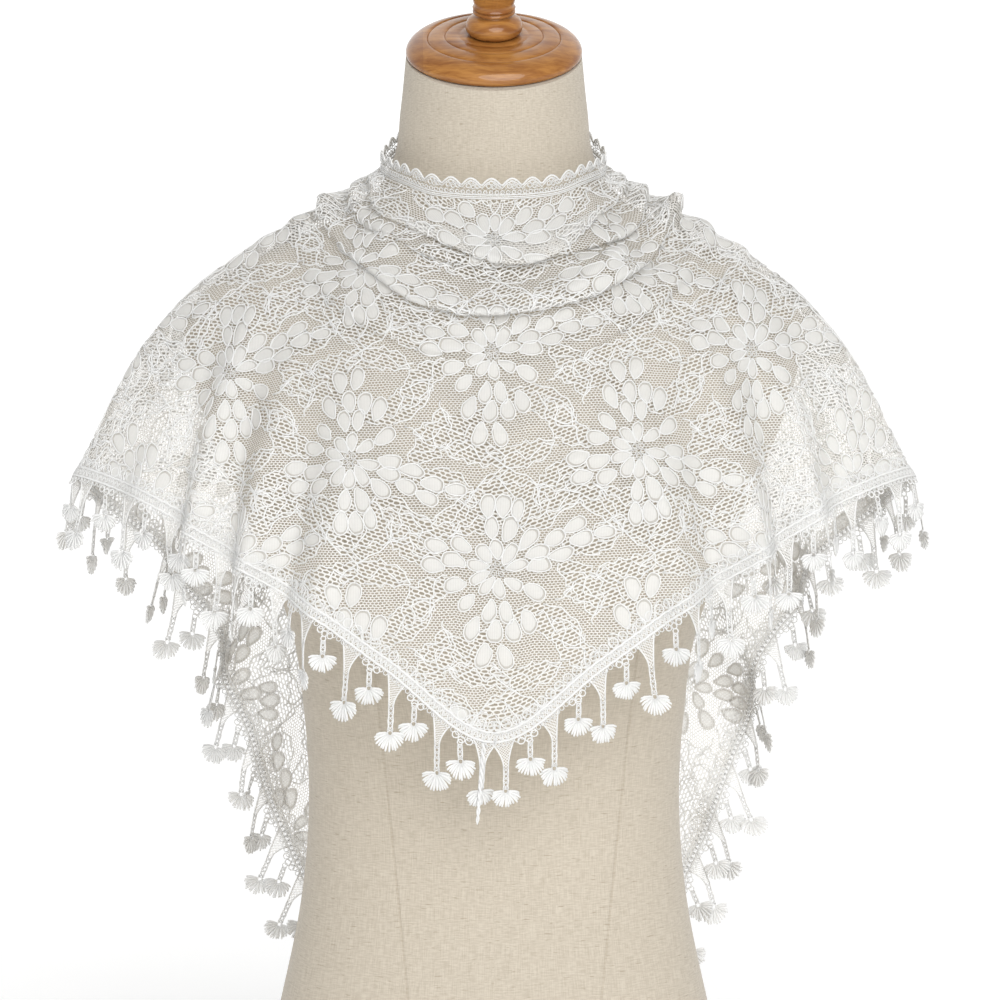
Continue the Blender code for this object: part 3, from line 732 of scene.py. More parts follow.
def lay_flat(points):
    """Flat coordinates of the grid's patch corners."""
    rows, columns = (LINES - 1) // PATCH + 1, (ROWS - 1) // PATCH + 1
    along = measured(points, 1, 0)
    down = measured(points, 0, 1)
    slant = measured(points, 1, 1)
    number = np.arange(rows * columns).reshape(rows, columns)
    a, b = number[:-1, :-1].ravel(), number[1:, :-1].ravel()
    c, d = number[1:, 1:].ravel(), number[:-1, 1:].ravel()
    ab, dc = along[:, :-1].ravel(), along[:, 1:].ravel()
    ad, bc = down[:-1].ravel(), down[1:].ravel()
    ac = slant.ravel()
    corners = np.concatenate([np.stack([a, b, c], 1), np.stack([a, c, d], 1)])
    sides = np.concatenate([np.stack([ab, bc, ac], 1), np.stack([ac, dc, ad], 1)])
    first, second, third = sides.T
    third = np.clip(third, np.abs(first - second) * 1.02, (first + second) * 0.98)
    x = (first**2 + third**2 - second**2) / (2 * first)
    y = np.sqrt(np.maximum(third**2 - x**2, 1e-10))
    zero = np.zeros_like(x)
    triangle = [np.stack(pair, 1) for pair in ((zero, zero), (first, zero), (x, y))]
    shape = np.stack(triangle, 1)
    shape = shape * np.where(np.arange(2) == 1, -1, 1)
    edges = [(0, 1), (1, 2), (2, 0)]
    size = rows * columns
    pull = np.zeros((size, size))
    for k, (i, j) in enumerate(edges):
        other = 3 - i - j
        u, v = shape[:, i] - shape[:, other], shape[:, j] - shape[:, other]
        area = np.abs(u[:, 0] * v[:, 1] - u[:, 1] * v[:, 0])
        weight = np.clip(np.sum(u * v, axis=1) / np.maximum(area, 1e-9), 0.05, 20)
        edges[k] = (i, j, weight)
        np.add.at(pull, (corners[:, i], corners[:, i]), weight)
        np.add.at(pull, (corners[:, j], corners[:, j]), weight)
        np.add.at(pull, (corners[:, i], corners[:, j]), -weight)
        np.add.at(pull, (corners[:, j], corners[:, i]), -weight)
    pull[0, 0] += 1.0
    solve = np.linalg.inv(pull)
    p = places[::PATCH, None] / TAIL
    s = steps[None, ::PATCH]
    u = p * (GUESS_LONG_EDGE * (1 - s) + GUESS_HEM * s)
    v = -GUESS_POINT * s * (1 - np.abs(p)) - GUESS_DROP * s
    flat = np.stack([u, v], axis=2).reshape(-1, 2)
    for _ in range(ROUNDS):
        turn = np.zeros((len(corners), 2, 2))
        for i, j, weight in edges:
            now = flat[corners[:, i]] - flat[corners[:, j]]
            rest = shape[:, i] - shape[:, j]
            turn += weight[:, None, None] * now[:, :, None] * rest[:, None, :]
        angle = np.arctan2(turn[:, 1, 0] - turn[:, 0, 1], turn[:, 0, 0] + turn[:, 1, 1])
        cos, sin = np.cos(angle), np.sin(angle)
        wanted = np.zeros((size, 2))
        wanted[0] += flat[0]
        for i, j, weight in edges:
            rest = shape[:, i] - shape[:, j]
            turned_x = cos * rest[:, 0] - sin * rest[:, 1]
            turned_y = sin * rest[:, 0] + cos * rest[:, 1]
            put = np.stack([turned_x, turned_y], 1)
            put *= weight[:, None]
            np.add.at(wanted, corners[:, i], put)
            np.add.at(wanted, corners[:, j], -put)
        flat = solve @ wanted
    return flat.reshape(rows, columns, 2)


print("the flat pattern is found in", ROUNDS, "rounds")


# %% Place every point on the flat cloth
def share_between(points, axis):
    """Where each grid point lies between its patch corners along one axis, by length."""
    steps = np.linalg.norm(np.diff(points, axis=axis), axis=2)
    shape = list(points.shape[:2])
    shape[axis] = 1
    run = np.concatenate([np.zeros(shape), np.cumsum(steps, axis=axis)], axis=axis)
    run = np.moveaxis(run, axis, 0)
    number = np.arange(len(run))
    low = np.minimum(number // PATCH * PATCH, len(run) - 1 - PATCH)
    start, end = run[low], run[low + PATCH]
    return low // PATCH, np.moveaxis((run - start) / np.maximum(end - start, 1e-9), 0, axis)


def spread_out(corners, points):
    """Flat coordinates of every grid point from those of the patch corners."""
    i, f = share_between(points, 0)
    j, g = share_between(points, 1)
    i, j = i[:, None], j[None, :]
    f, g = f[..., None], g[..., None]
    low = corners[i, j] * (1 - f) + corners[i + 1, j] * f
    high = corners[i, j + 1] * (1 - f) + corners[i + 1, j + 1] * f
    return low * (1 - g) + high * g


flat_corners = lay_flat(grid)
middle_line = flat_corners[len(flat_corners) // 2]
fall = unit(middle_line[-1] - middle_line[0])
upright = np.array([[-fall[1], fall[0]], [-fall[0], -fall[1]]])
flat_corners = (flat_corners - middle_line[0]) @ upright.T
flat = spread_out(flat_corners, grid)
print("flat cloth spans", np.ptp(flat[..., 0]).round(3), "by", np.ptp(flat[..., 1]).round(3), "m")

# %% [markdown]
# ## The studio
# The picture was taken against plain white. Broad soft light comes from the front, a little
# high and to the right, so the form is lightest down its middle and darker at its sides. The
# room is brightest behind the form, which keeps the background white. The camera stands far
# back, five degrees above the middle of the form.

# %% Camera, light and floor
VIEW_DISTANCE = 2.8
VIEW_RISE = math.radians(5)
VIEW_CENTRE = Vector((0, 0, 0.446))
VIEW_WIDTH = 0.61
VIEW_SHIFT = 0.006
SENSOR = 36.0
SUN_STRENGTH = 2.55
SUN_SPREAD = math.radians(50)
SUN_FROM = (0.15, -0.90, 0.44)
ROOM = (("From Min", 0.0), ("From Max", 0.8), ("To Min", 0.34), ("To Max", 1.2))
FLOOR_GLOW = 0.22
FLOOR_RADIUS = 30.0
FLOOR_SIDES = 64


def studio():
    camera_data = bpy.data.cameras.new("camera")
    camera_data.sensor_width = SENSOR
    camera_data.lens = SENSOR * VIEW_DISTANCE / VIEW_WIDTH
    camera_data.shift_x = VIEW_SHIFT
    camera = bpy.data.objects.new("camera", camera_data)
    camera.location = VIEW_CENTRE + VIEW_DISTANCE * Vector(
        (0, -math.cos(VIEW_RISE), math.sin(VIEW_RISE))
    )
    camera.rotation_euler = (math.pi / 2 - VIEW_RISE, 0, 0)
    bpy.context.scene.collection.objects.link(camera)
    bpy.context.scene.camera = camera

    sun_data = bpy.data.lights.new("window", "SUN")
    sun_data.energy = SUN_STRENGTH
    sun_data.angle = SUN_SPREAD
    sun = bpy.data.objects.new("window", sun_data)
    sun.rotation_euler = Vector(SUN_FROM).to_track_quat("Z", "Y").to_euler()
    bpy.context.scene.collection.objects.link(sun)

    world = bpy.data.worlds.new("white_room")
    bpy.context.scene.world = world
    world.use_nodes = True
    nodes, links = world.node_tree.nodes, world.node_tree.links
    way = nodes.new("ShaderNodeTexCoord")
    parts = nodes.new("ShaderNodeSeparateXYZ")
    depth = nodes.new("ShaderNodeMapRange")
    for name, value in ROOM:
        depth.inputs[name].default_value = value
    links.new(way.outputs["Generated"], parts.inputs[0])
    links.new(parts.outputs["Y"], depth.inputs["Value"])
    links.new(depth.outputs[0], nodes["Background"].inputs["Strength"])
    nodes["Background"].inputs["Color"].default_value = rgb(1, 1, 1)
    bpy.context.scene.view_settings.view_transform = "Standard"


def floor_paint():
    paint = Paint("pale_floor", 0.9)
    place = paint.node("ShaderNodeTexCoord", (), (), 3)
    soft = paint.noise(place, 3.0)
    paint.feed("Base Color", paint.mix(soft, rgb(0.93, 0.93, 0.925), rgb(0.95, 0.95, 0.945)))
    paint.shader.inputs["Emission Color"].default_value = rgb(1, 1, 1)
    paint.shader.inputs["Emission Strength"].default_value = FLOOR_GLOW
    return paint


def lay_floor():
    angles = turns(FLOOR_SIDES)
    ring = np.stack([np.cos(angles), np.sin(angles), np.zeros(FLOOR_SIDES)], axis=1)
    ring = ring * FLOOR_RADIUS
    mesh = bpy.data.meshes.new("floor")
    mesh.from_pydata(ring.tolist(), [], [tuple(range(FLOOR_SIDES))])
    mesh.materials.append(floor_paint().material)
    floor = bpy.data.objects.new("floor", mesh)
    bpy.context.scene.collection.objects.link(floor)


studio()
lay_floor()
print("camera", VIEW_DISTANCE, "m away, sun at strength", SUN_STRENGTH)

# %% [markdown]
# ## Finding a spot of the flat cloth on the drape
# A pattern is drawn in flat coordinates, so every point of it has to be found again on the
# draped grid. The nearest grid point gives a first guess, and a few steps along the grid's own
# slopes give the exact spot. Points that fall past the cloth's edge are marked, and what is
# drawn there is left off, just as a cut edge ends the pattern of real lace.

# %% A cloth to draw on
class Cloth:
    """A grid of points in space that knows where each one lies on the flat cloth."""

    def __init__(self, points, flat):
        self.points, self.flat = points, flat
        self.normals = grid_normals(points)
        self.slopes = np.gradient(flat, axis=0), np.gradient(flat, axis=1)
        self.rows, self.columns = flat.shape[:2]
        self.tree = kdtree.KDTree(self.rows * self.columns)
        for k, (u, v) in enumerate(flat.reshape(-1, 2)):
            self.tree.insert((u, v, 0), k)
        self.tree.balance()

    def read(self, values, i, j):
        """Values of the grid between its points."""
        i, j = np.clip(i, 0, self.rows - 1), np.clip(j, 0, self.columns - 1)
        low_i = np.minimum(i.astype(int), self.rows - 2)
        low_j = np.minimum(j.astype(int), self.columns - 2)
        f, g = (i - low_i)[:, None], (j - low_j)[:, None]
        near = values[low_i, low_j] * (1 - f) + values[low_i + 1, low_j] * f
        far = values[low_i, low_j + 1] * (1 - f) + values[low_i + 1, low_j + 1] * f
        return near * (1 - g) + far * g

    def find(self, spots):
        """Grid numbers of spots on the flat cloth, and which of them are on it."""
        nearest = np.array([self.tree.find((u, v, 0))[1] for u, v in spots])
        i, j = (nearest // self.columns).astype(float), (nearest % self.columns).astype(float)
        for _ in range(4):
            miss = spots - self.read(self.flat, i, j)
            along, down = (self.read(slope, i, j) for slope in self.slopes)
            area = along[:, 0] * down[:, 1] - along[:, 1] * down[:, 0]
            area = np.where(np.abs(area) < 1e-12, 1e-12, area)
            i = i + np.clip((miss[:, 0] * down[:, 1] - miss[:, 1] * down[:, 0]) / area, -2, 2)
            j = j + np.clip((along[:, 0] * miss[:, 1] - along[:, 1] * miss[:, 0]) / area, -2, 2)
        on_it = (i > -0.2) & (i < self.rows - 0.8) & (j > -0.2) & (j < self.columns - 0.8)
        return i, j, on_it

    def lay(self, spots, lift=0.0):
        """Points in space, normals, and which spots are on the cloth."""
        i, j, on_it = self.find(np.asarray(spots, float))
        normal = unit(self.read(self.normals, i, j))
        return self.read(self.points, i, j) + normal * np.reshape(lift, (-1, 1)), normal, on_it


cloth = Cloth(grid, flat)
print("the veil covers", round(float(np.ptp(flat[..., 0])), 3), "m of flat cloth")

# %% [markdown]
# ## Thread as real geometry
# A thread could be painted on, but lace is judged by its edge against the light, and paint has
# no edge. So each thread is a thin tube with three or four sides, a little flattened, as yarn
# is when it lies on cloth. All threads of one finish are gathered into one mesh.

# %% Threads
class Threads:
    """Points and faces of many thin threads, gathered into one piece."""

    def __init__(self):
        self.points, self.faces, self.count = [], [], 0

    def add(self, line, normal, radius, flatness=0.75, sides=4, closed=False):
        """One thread along a line, as thick across as radius says, and flatter upwards."""
        if closed:
            along = unit(np.roll(line, -1, axis=0) - np.roll(line, 1, axis=0))
        else:
            along = unit(np.gradient(line, axis=0))
        across = unit(np.cross(along, normal))
        upward = np.cross(across, along)
        angles = (np.arange(sides) + 0.5) * 2 * math.pi / sides
        radius = np.broadcast_to(radius, (len(line),))[:, None, None]
        spread = np.cos(angles)[None, :, None] * across[:, None]
        spread = spread + flatness * np.sin(angles)[None, :, None] * upward[:, None]
        self.points.append((line[:, None] + radius * spread).reshape(-1, 3))
        number = self.count + np.arange(len(line) * sides).reshape(len(line), sides)
        after = np.roll(number, -1, axis=1)
        if closed:
            low, low_after = number, after
            high, high_after = np.roll(number, -1, axis=0), np.roll(after, -1, axis=0)
        else:
            low, low_after, high, high_after = number[:-1], after[:-1], number[1:], after[1:]
            self.faces.append(tuple(number[0].tolist()))
            self.faces.append(tuple(number[-1, ::-1].tolist()))
        corners = [low.ravel(), high.ravel(), high_after.ravel(), low_after.ravel()]
        self.faces.extend(map(tuple, np.stack(corners, axis=1).tolist()))
        self.count += number.size

    def draw(self, cloth, lines, radius, lift=0.0, closed=False, sides=4):
        """Threads along lines drawn on the flat cloth. What falls past its edge is left off."""
        if not lines:
            return
        lines = [np.asarray(line, float) for line in lines]
        sizes = [len(line) for line in lines]
        at, normal, on_it = cloth.lay(np.concatenate(lines), lift)
        start = 0
        for size in sizes:
            run = slice(start, start + size)
            start += size
            if on_it[run].all():
                self.add(at[run], normal[run], radius, sides=sides, closed=closed)
                continue
            kept = np.flatnonzero(on_it[run])
            for part in np.split(kept, np.flatnonzero(np.diff(kept) > 1) + 1):
                if len(part) > 2:
                    self.add(at[run][part], normal[run][part], radius, sides=sides)

    def piece(self, name, paint, stands_for, slot):
        points = np.concatenate(self.points)
        return make_piece(name, points, self.faces, paint, stands_for, slot)


print("threads can be drawn")

# %% [markdown]
# ## The lace pattern
# Machine lace repeats. A flower of 37 petals stands on each point of a half-drop
# lattice, 171 mm wide and 130 mm high, and garlands of leaves run between the rows. Three
# things draw it: a bright cord round every petal and leaf, solid weaving in the petals, and
# coarse slanting net in the leaves where the ground is fine. The flower and the leaves below
# are made from a few tables, with small chance differences so that no two petals are alike.

# %% The repeat
REPEAT = np.array([0.171, 0.130])
FIRST_FLOWER = np.array([0.004, -0.156])
PETAL_TIERS = [
    # distance to the middle, length, width, directions in degrees
    (0.0106, 0.0128, 0.0068, (12, 50, 88, 126, 162, 200, 238, 272, 314)),
    (0.0236, 0.0144, 0.0082, (2, 23, 45, 74, 98, 146, 169, 196, 230, 256, 281, 322)),
    (0.0375, 0.0148, 0.0084, (12, 27, 67, 84, 100, 159, 175, 249, 264, 280, 300)),
    (0.0510, 0.0142, 0.0082, (15, 26, 263, 274)),
    (0.0640, 0.0136, 0.0076, (20,)),
]
OUTLINE_POINTS = 16
CHANCE_SEED = 7
rng = np.random.default_rng(CHANCE_SEED)


def petal_outline(length, width, points=OUTLINE_POINTS, fullness=0.85):
    """A petal from its narrow foot, at -x, to its round or pointed end."""
    t = turns(points)
    x = np.cos(t)
    y = np.sign(np.sin(t)) * np.abs(np.sin(t)) ** fullness
    y = y * (1 + 0.20 * x) * (1 - 0.34 * np.maximum(-x, 0) ** 2)
    return np.stack([x * length / 2, y * width / 2], axis=1)


def turn_and_move(outline, degrees, offset):
    angle = math.radians(degrees)
    turn = np.array([[math.cos(angle), math.sin(angle)], [-math.sin(angle), math.cos(angle)]])
    return outline @ turn + offset


def flower():
    """Outlines and woven hearts of one flower's petals, round the flower's centre."""
    outlines, hearts = [], []
    for distance, length, width, directions in PETAL_TIERS:
        for direction in directions:
            direction = direction + rng.uniform(-4, 4)
            # Each petal strays from the one before it, so a tier isn't a perfect circle.
            distance = distance + rng.uniform(-0.0008, 0.0008)
            size = rng.uniform(0.90, 1.10, 2)
            tilt = direction + rng.uniform(-12, 12)
            way = np.array([math.cos(math.radians(direction)), math.sin(math.radians(direction))])
            fullness = rng.uniform(0.62, 1.22)
            shape = petal_outline(length * size[0], width * size[1], OUTLINE_POINTS, fullness)
            shape[:, 1] += shape[:, 0] ** 2 * rng.uniform(-18, 18)
            shape = shape + rng.normal(0, 0.00016, shape.shape)
            outlines.append(turn_and_move(shape, tilt, way * distance))
            heart = shape * [0.86, 0.83] - [length * 0.045, rng.uniform(-0.0003, 0.0003)]
            hearts.append(turn_and_move(heart, tilt, way * distance))
    return outlines, hearts


print("petals in a flower:", sum(len(row[3]) for row in PETAL_TIERS))

# %% Leaves and garlands
LEAVES = [
    # x, y, length, width, direction in degrees, bend
    (-0.058, -0.029, 0.046, 0.018, 204, 0.10),
    (-0.070, -0.006, 0.040, 0.014, 176, -0.12),
    (-0.040, -0.051, 0.038, 0.016, 236, 0.14),
    (0.060, -0.022, 0.046, 0.018, -16, 0.12),
    (0.074, -0.001, 0.036, 0.014, 12, -0.10),
    (0.046, -0.045, 0.040, 0.016, -48, -0.12),
    (-0.030, 0.046, 0.040, 0.015, 158, -0.14),
    (0.040, 0.048, 0.038, 0.015, 34, 0.14),
]
GARLAND_STEP = 0.0020


def wander(line, reach=0.0007):
    """A drawn line that strays a little from side to side, as cord does when it is sewn."""
    x, y = np.asarray(line).T
    return line + reach * np.stack([np.sin(y * 900 + x * 310), np.sin(x * 820 - y * 260)], axis=1)


def garland_edges(x):
    """Lower and upper edge of the garland between two rows of flowers."""
    t = x * 2 * math.pi / REPEAT[0]
    middle = 0.0350 + 0.0085 * np.sin(t + 0.6) + 0.0040 * np.sin(3 * t + 2.0)
    half = 0.0085 + 0.0045 * np.sin(2 * t + 1.0) + 0.0020 * np.sin(5 * t)
    low = middle - half - 0.0028 * np.abs(np.sin(8.5 * t))
    high = middle + half + 0.0026 * np.abs(np.sin(7 * t))
    return low, high


def leaf_side(leaf, along):
    """Half width and sideways bend of a leaf, from -1 at its foot to 1 at its tip."""
    x, y, length, width, _, bend = leaf
    uneven = 1 + 0.15 * np.sin(12 * along + 50 * x) + 0.08 * np.sin(21 * along + 90 * y)
    half = width / 2 * np.maximum(1 - along**2, 0) ** 0.58 * uneven
    return half, bend * length * (1 - along**2)


def leaf_outline(leaf, points=40):
    x, y, length, _, direction, _ = leaf
    t = turns(points)
    along = np.cos(t)
    half, bent = leaf_side(leaf, along)
    outline = np.stack([along * length / 2, half * np.sign(np.sin(t)) + bent], axis=1)
    return wander(turn_and_move(outline, direction, (x, y)))


def leaf_vein(leaf):
    x, y, length, width, direction, _ = leaf
    along = np.linspace(-1.15, 0.75, 16)
    _, bent = leaf_side(leaf, along)
    wave = width * 0.22 * np.sin(7 * along)
    return wander(turn_and_move(np.stack([along * length / 2, bent + wave], 1), direction, (x, y)))


def garland_cords():
    """The garland's two edges and the slanting veins between them, over one repeat."""
    x = np.linspace(-REPEAT[0] / 2, REPEAT[0] / 2, int(REPEAT[0] / GARLAND_STEP))
    low, high = garland_edges(x)
    cords = [wander(np.stack([x, edge], axis=1), 0.0004) for edge in (low, high)]
    for start in np.arange(-0.082, 0.085, 0.0195):
        run = np.linspace(0, 1, 11)
        across = start + run * 0.013 + 0.003 * np.sin(run * 6)
        low, high = garland_edges(across)
        cords.append(wander(np.stack([across, low + (high - low) * run], axis=1), 0.0010))
    return cords


print("leaves in a repeat:", len(LEAVES))


# %% Repeat the pattern over the cloth
def leafy(spots):
    """How far inside a leaf or garland each flat spot is, in metres, and below 0 outside."""
    inside = np.full(len(spots), -0.05)
    for shift in ((0, 0), (0.5, 0.5)):
        local = (spots - FIRST_FLOWER) / REPEAT - shift
        local = (local - np.round(local)) * REPEAT
        local = local * (1, 1 if shift == (0, 0) else -1)
        for across in (-1, 0, 1):
            for up in (-1, 0, 1):
                here = local - np.array([across, up]) * REPEAT
                low, high = garland_edges(here[:, 0])
                whole = np.minimum(here[:, 1] - low, high - here[:, 1])
                inside = np.maximum(inside, whole)
                for leaf in LEAVES:
                    x, y, length, _, direction, _ = leaf
                    spot = turn_and_move(here - (x, y), -direction, (0, 0))
                    along = np.clip(spot[:, 0] / (length / 2), -1, 1)
                    half, bent = leaf_side(leaf, along)
                    past = np.abs(spot[:, 0]) - length / 2
                    within = half - np.abs(spot[:, 1] - bent)
                    inside = np.maximum(inside, np.minimum(within, -past))
    return inside


FLOWER_REACH = 0.075


def flower_places():
    """Flat centres of all flowers that can reach the veil, and 1 or -1 for the way up."""
    centres = []
    for across in range(-6, 7):
        for up in range(-4, 5):
            for shift in (0, 0.5):
                centre = FIRST_FLOWER + (np.array([across, up]) + shift) * REPEAT
                centres.append((*centre, 1 if shift == 0 else -1))
    centres = np.array(centres)
    near = []
    for centre in centres:
        nearest = cloth.tree.find((centre[0], centre[1], 0))
        near.append(nearest[2] < FLOWER_REACH)
    return centres[np.array(near)]


def repeated(shapes):
    """Shapes drawn round every flower's centre. Every other row of flowers is turned over."""
    return [shape * [1, c[2]] + c[:2] for c in centres for shape in shapes]


petal_outlines, petal_hearts = flower()
centres = flower_places()
print(len(centres), "flowers of", len(petal_outlines), "petals")

# %% [markdown]
# ## Finishes of net, weaving and cord
# The net has tens of thousands of holes, too many to cut, so the material leaves them out:
# where a hole is, alpha is 0. Its holes lie in rows, each shifted by half a hole, as in a
# brick wall. Inside the leaves they are coarser and lie at a slant. Petals are closely woven,
# with ribs that run up the cloth. White thread isn't opaque either: some of the light that
# falls on it leaves on the far side, so a share of each finish is translucent.

# %% Finishes of net, weaving and cord
THREAD_GLOW = rgb(0.90, 0.895, 0.88)
NET_GLOW_SHARE = 0.32
CORD_GLOW_SHARE = 0.20
RIB_PITCH = 0.00095
PICK_PITCH = 0.0021


def net_paint():
    """Fine brick-shaped net, and coarse slanting net in the leaves."""
    paint = Paint("net", 0.75)
    x, y, leaf = paint.parts(paint.stored("flat"))
    waver = paint.noise(paint.stored("flat"), 130.0, 2.0)
    x, y = x + (waver - 0.5) * 0.0022, y + (waver - 0.5) * 0.0014

    def holes(along, across, pitch, row, wide, high):
        level = across / row
        shift = (level.math("FLOOR") % 2.0) * 0.5
        a = (along / pitch + shift).math("FRACT") - 0.5
        b = level.math("FRACT") - 0.5
        return (abs(a) / wide) ** 2.4 + (abs(b) / high) ** 2.4

    fine = holes(x, y, 0.00225, 0.00145, 0.400, 0.378).smoother(0.60, 1.35)
    side = (x * 13.0).math("SINE") > 0.0
    turn = side * 0.7 - 0.35
    coarse = holes(x + y * turn, y - x * turn, 0.0041, 0.0022, 0.410, 0.330).smoother(0.75, 1.25)
    in_leaf = leaf > 0.0
    thread = fine * (1 - in_leaf) + coarse * in_leaf
    paint.feed("Alpha", thread)
    paint.let_light_through(thread * NET_GLOW_SHARE, THREAD_GLOW)
    shade = paint.mix(in_leaf, rgb(0.85, 0.832, 0.795), rgb(0.85, 0.842, 0.820))
    paint.feed("Base Color", shade)
    return paint


def weave_paint(name, white, shade_and_tone_grey, share):
    """Solid weaving with fine ribs that run up the cloth. Its colour greys in the grooves between
    the ribs, as painted shade, and with a random uneven tone.
    """
    paint = Paint(name, 0.55)
    x, y, _ = paint.parts(paint.stored("flat"))
    ribs = (x * 2 * math.pi / RIB_PITCH).math("SINE") * 0.5 + 0.5
    picks = (y * 2 * math.pi / PICK_PITCH).math("SINE") * 0.5 + 0.5
    uneven = paint.noise(paint.stored("flat"), 500.0)
    # Painted shade in the rib grooves, mixed with a random uneven tone.
    groove_shade_and_tone = (ribs * 0.5 + uneven * 0.5).smoother(0.15, 0.85)
    paint.feed("Base Color", paint.mix(groove_shade_and_tone, shade_and_tone_grey, white))
    paint.bump(ribs + picks * 0.4, 0.30, 0.00010)
    paint.let_light_through(share, white)
    return paint


def cord_paint(name, white, twist):
    """Bright yarn with a slight twist."""
    paint = Paint(name, 0.5)
    place = paint.node("ShaderNodeTexCoord", (), (), 3)
    strands = paint.noise(place, twist, 2.0)
    shade = tuple(c * 0.90 for c in white[:3]) + (1.0,)
    paint.feed("Base Color", paint.mix(strands, shade, white))
    paint.bump(strands, 0.3, 0.0002)
    paint.let_light_through(CORD_GLOW_SHARE, white)
    return paint


NET = net_paint()
WEAVE = weave_paint("petal_weave", rgb(0.92, 0.917, 0.898), rgb(0.79, 0.786, 0.765), 0.42)
# The petal border is a darker copy of the petal weave: its grey is painted shade between a petal's
# heart and its cord.
SHADE_GREY_RIM = weave_paint("petal_rim", rgb(0.74, 0.722, 0.688), rgb(0.64, 0.622, 0.588), 0.50)
CORD = cord_paint("lace_cord", rgb(0.94, 0.94, 0.93), 900.0)
TRIM = cord_paint("trim_yarn", rgb(0.94, 0.94, 0.93), 900.0)
print("net:", len(NET.tree.nodes), "nodes, weaving:", len(WEAVE.tree.nodes), "nodes")

# %% [markdown]
# ## Weaving the veil
# The draped grid becomes the net itself, one sheet that stands for all three lace walls. It
# keeps with every point how deep it lies in a leaf, so the finish knows where to go coarse.

# %% Weave the veil
def grid_faces(rows, columns):
    """Faces of a grid whose first axis runs from left to right, turned outwards."""
    number = np.arange(rows * columns).reshape(rows, columns)
    corners = [number[:-1, :-1], number[:-1, 1:], number[1:, 1:], number[1:, :-1]]
    return np.stack([c.ravel() for c in corners], axis=1).tolist()


inside_leaf = leafy(flat.reshape(-1, 2))
veil = make_piece(
    "veil_net",
    grid.reshape(-1, 3),
    grid_faces(LINES, ROWS),
    NET,
    ["veil_front", "veil_back_left", "veil_back_right"],
    "lace",
)
store_flat(veil, flat.reshape(-1, 2), inside_leaf)
print("share of the net in leaves:", (inside_leaf > 0).mean().round(2))

# %% [markdown]
# ## Petals
# A petal of this lace is a patch of close weaving in a thinner border. The border is coloured a
# darker grey than the weaving, and that grey is painted shade: the shade that lies between a
# petal's heart and its cord. Both are laid on the net as meshes, the border lowest, so that the
# flowers stand out from the net as they do in the hand. A petal that would cross the cloth's edge
# is left off.

# %% Petals
PETAL_LIFT = 0.00045
RIM_LIFT = 0.00015


def patches(shapes, lift, crown, inner, closed):
    """Woven patches from outlines round every flower's centre, or only their borders."""
    spots, lifts = [], []
    for shape in repeated(shapes):
        middle = shape.mean(axis=0)
        ring = middle + (shape - middle) * inner
        rows = [shape, ring, [middle]] if closed else [shape, ring]
        spots.append(np.concatenate(rows))
        rises = [lift] * len(shape) + [lift + crown] * len(shape) + [lift + crown * 1.2]
        lifts.append(rises[: len(spots[-1])])
    size = len(spots[0])
    spots, lifts = np.concatenate(spots), np.concatenate(lifts)
    points, _, on_it = cloth.lay(spots, lifts)
    whole = on_it.reshape(-1, size).mean(axis=1) > 0.999
    kept = np.flatnonzero(np.repeat(whole, size))
    n = size // 2
    one = []
    for k in range(n):
        after = (k + 1) % n
        one.append((k, after, n + after, n + k))
        if closed:
            one.append((n + k, n + after, 2 * n))
    faces = [tuple(c + start * size for c in face) for start in range(whole.sum()) for face in one]
    return points[kept], faces, spots[kept]


def lay_petals(name, shapes, lift, crown, paint, inner, closed):
    points, faces, spots = patches(shapes, lift, crown, inner, closed)
    piece = make_piece(name, points, faces, paint, [], "lace")
    store_flat(piece, spots)
    return piece


petals = lay_petals("veil_petals", petal_hearts, PETAL_LIFT, 0.00015, WEAVE, 0.62, True)
# The borders carry the painted shade round each petal.
rims = lay_petals("veil_petal_shade_rims", petal_outlines, RIM_LIFT, 0.0, SHADE_GREY_RIM, 0.70, False)

# %% [markdown]
# ## Cords
# A bright cord is sewn round every petal and leaf and along the garlands, and it is what makes
# the pattern readable from afar. Where a leaf or a garland runs under a petal its cord stops,
# so the covered stretches are found first and only the open ones are drawn.

# %% Cords round the petals
OUTLINE_RADIUS = 0.00054
GARLAND_RADIUS = 0.00058
HEART_RADIUS = 0.0004
CORD_LIFT = 0.0006
HEART_REACH = 0.0031


def heart_ring(degrees):
    """One of the five small rings in the middle of a flower."""
    angle = math.radians(degrees)
    offset = (HEART_REACH * math.cos(angle), HEART_REACH * math.sin(angle))
    return turn_and_move(petal_outline(0.0034, 0.0030, 8), degrees, offset)


heart_rings = [heart_ring(degrees) for degrees in (18, 90, 162, 234, 306)]
petal_cords = Threads()
petal_cords.draw(cloth, repeated(petal_outlines), OUTLINE_RADIUS, CORD_LIFT, True)
petal_cords.draw(cloth, repeated(heart_rings), HEART_RADIUS, CORD_LIFT, True, 3)
petal_cord_piece = petal_cords.piece("veil_petal_cords", CORD, [], "lace")


# %% Where a petal covers a cord
def inside_shape(points, shape):
    """Which points a closed outline holds: a ray from them crosses it an odd number of times."""
    x, y = points.T
    odd = np.zeros(len(points), bool)
    for (x0, y0), (x1, y1) in zip(shape, np.roll(shape, -1, axis=0)):
        if y0 != y1:
            odd ^= ((y0 > y) != (y1 > y)) & (x < x0 + (x1 - x0) * (y - y0) / (y1 - y0))
    return odd


def under_petals(points):
    """Which points a petal covers, of the flower itself or of one next to it."""
    covered = np.zeros(len(points), bool)
    halves = (-1, -0.5, 0, 0.5, 1)
    for across, up in [(a, b) for a in halves for b in halves if a % 1 == b % 1]:
        turn = 1 if across % 1 == 0 else -1
        for outline in petal_outlines:
            shape = outline * [1, turn] + np.array([across, up]) * REPEAT
            covered |= inside_shape(points, shape)
    return covered


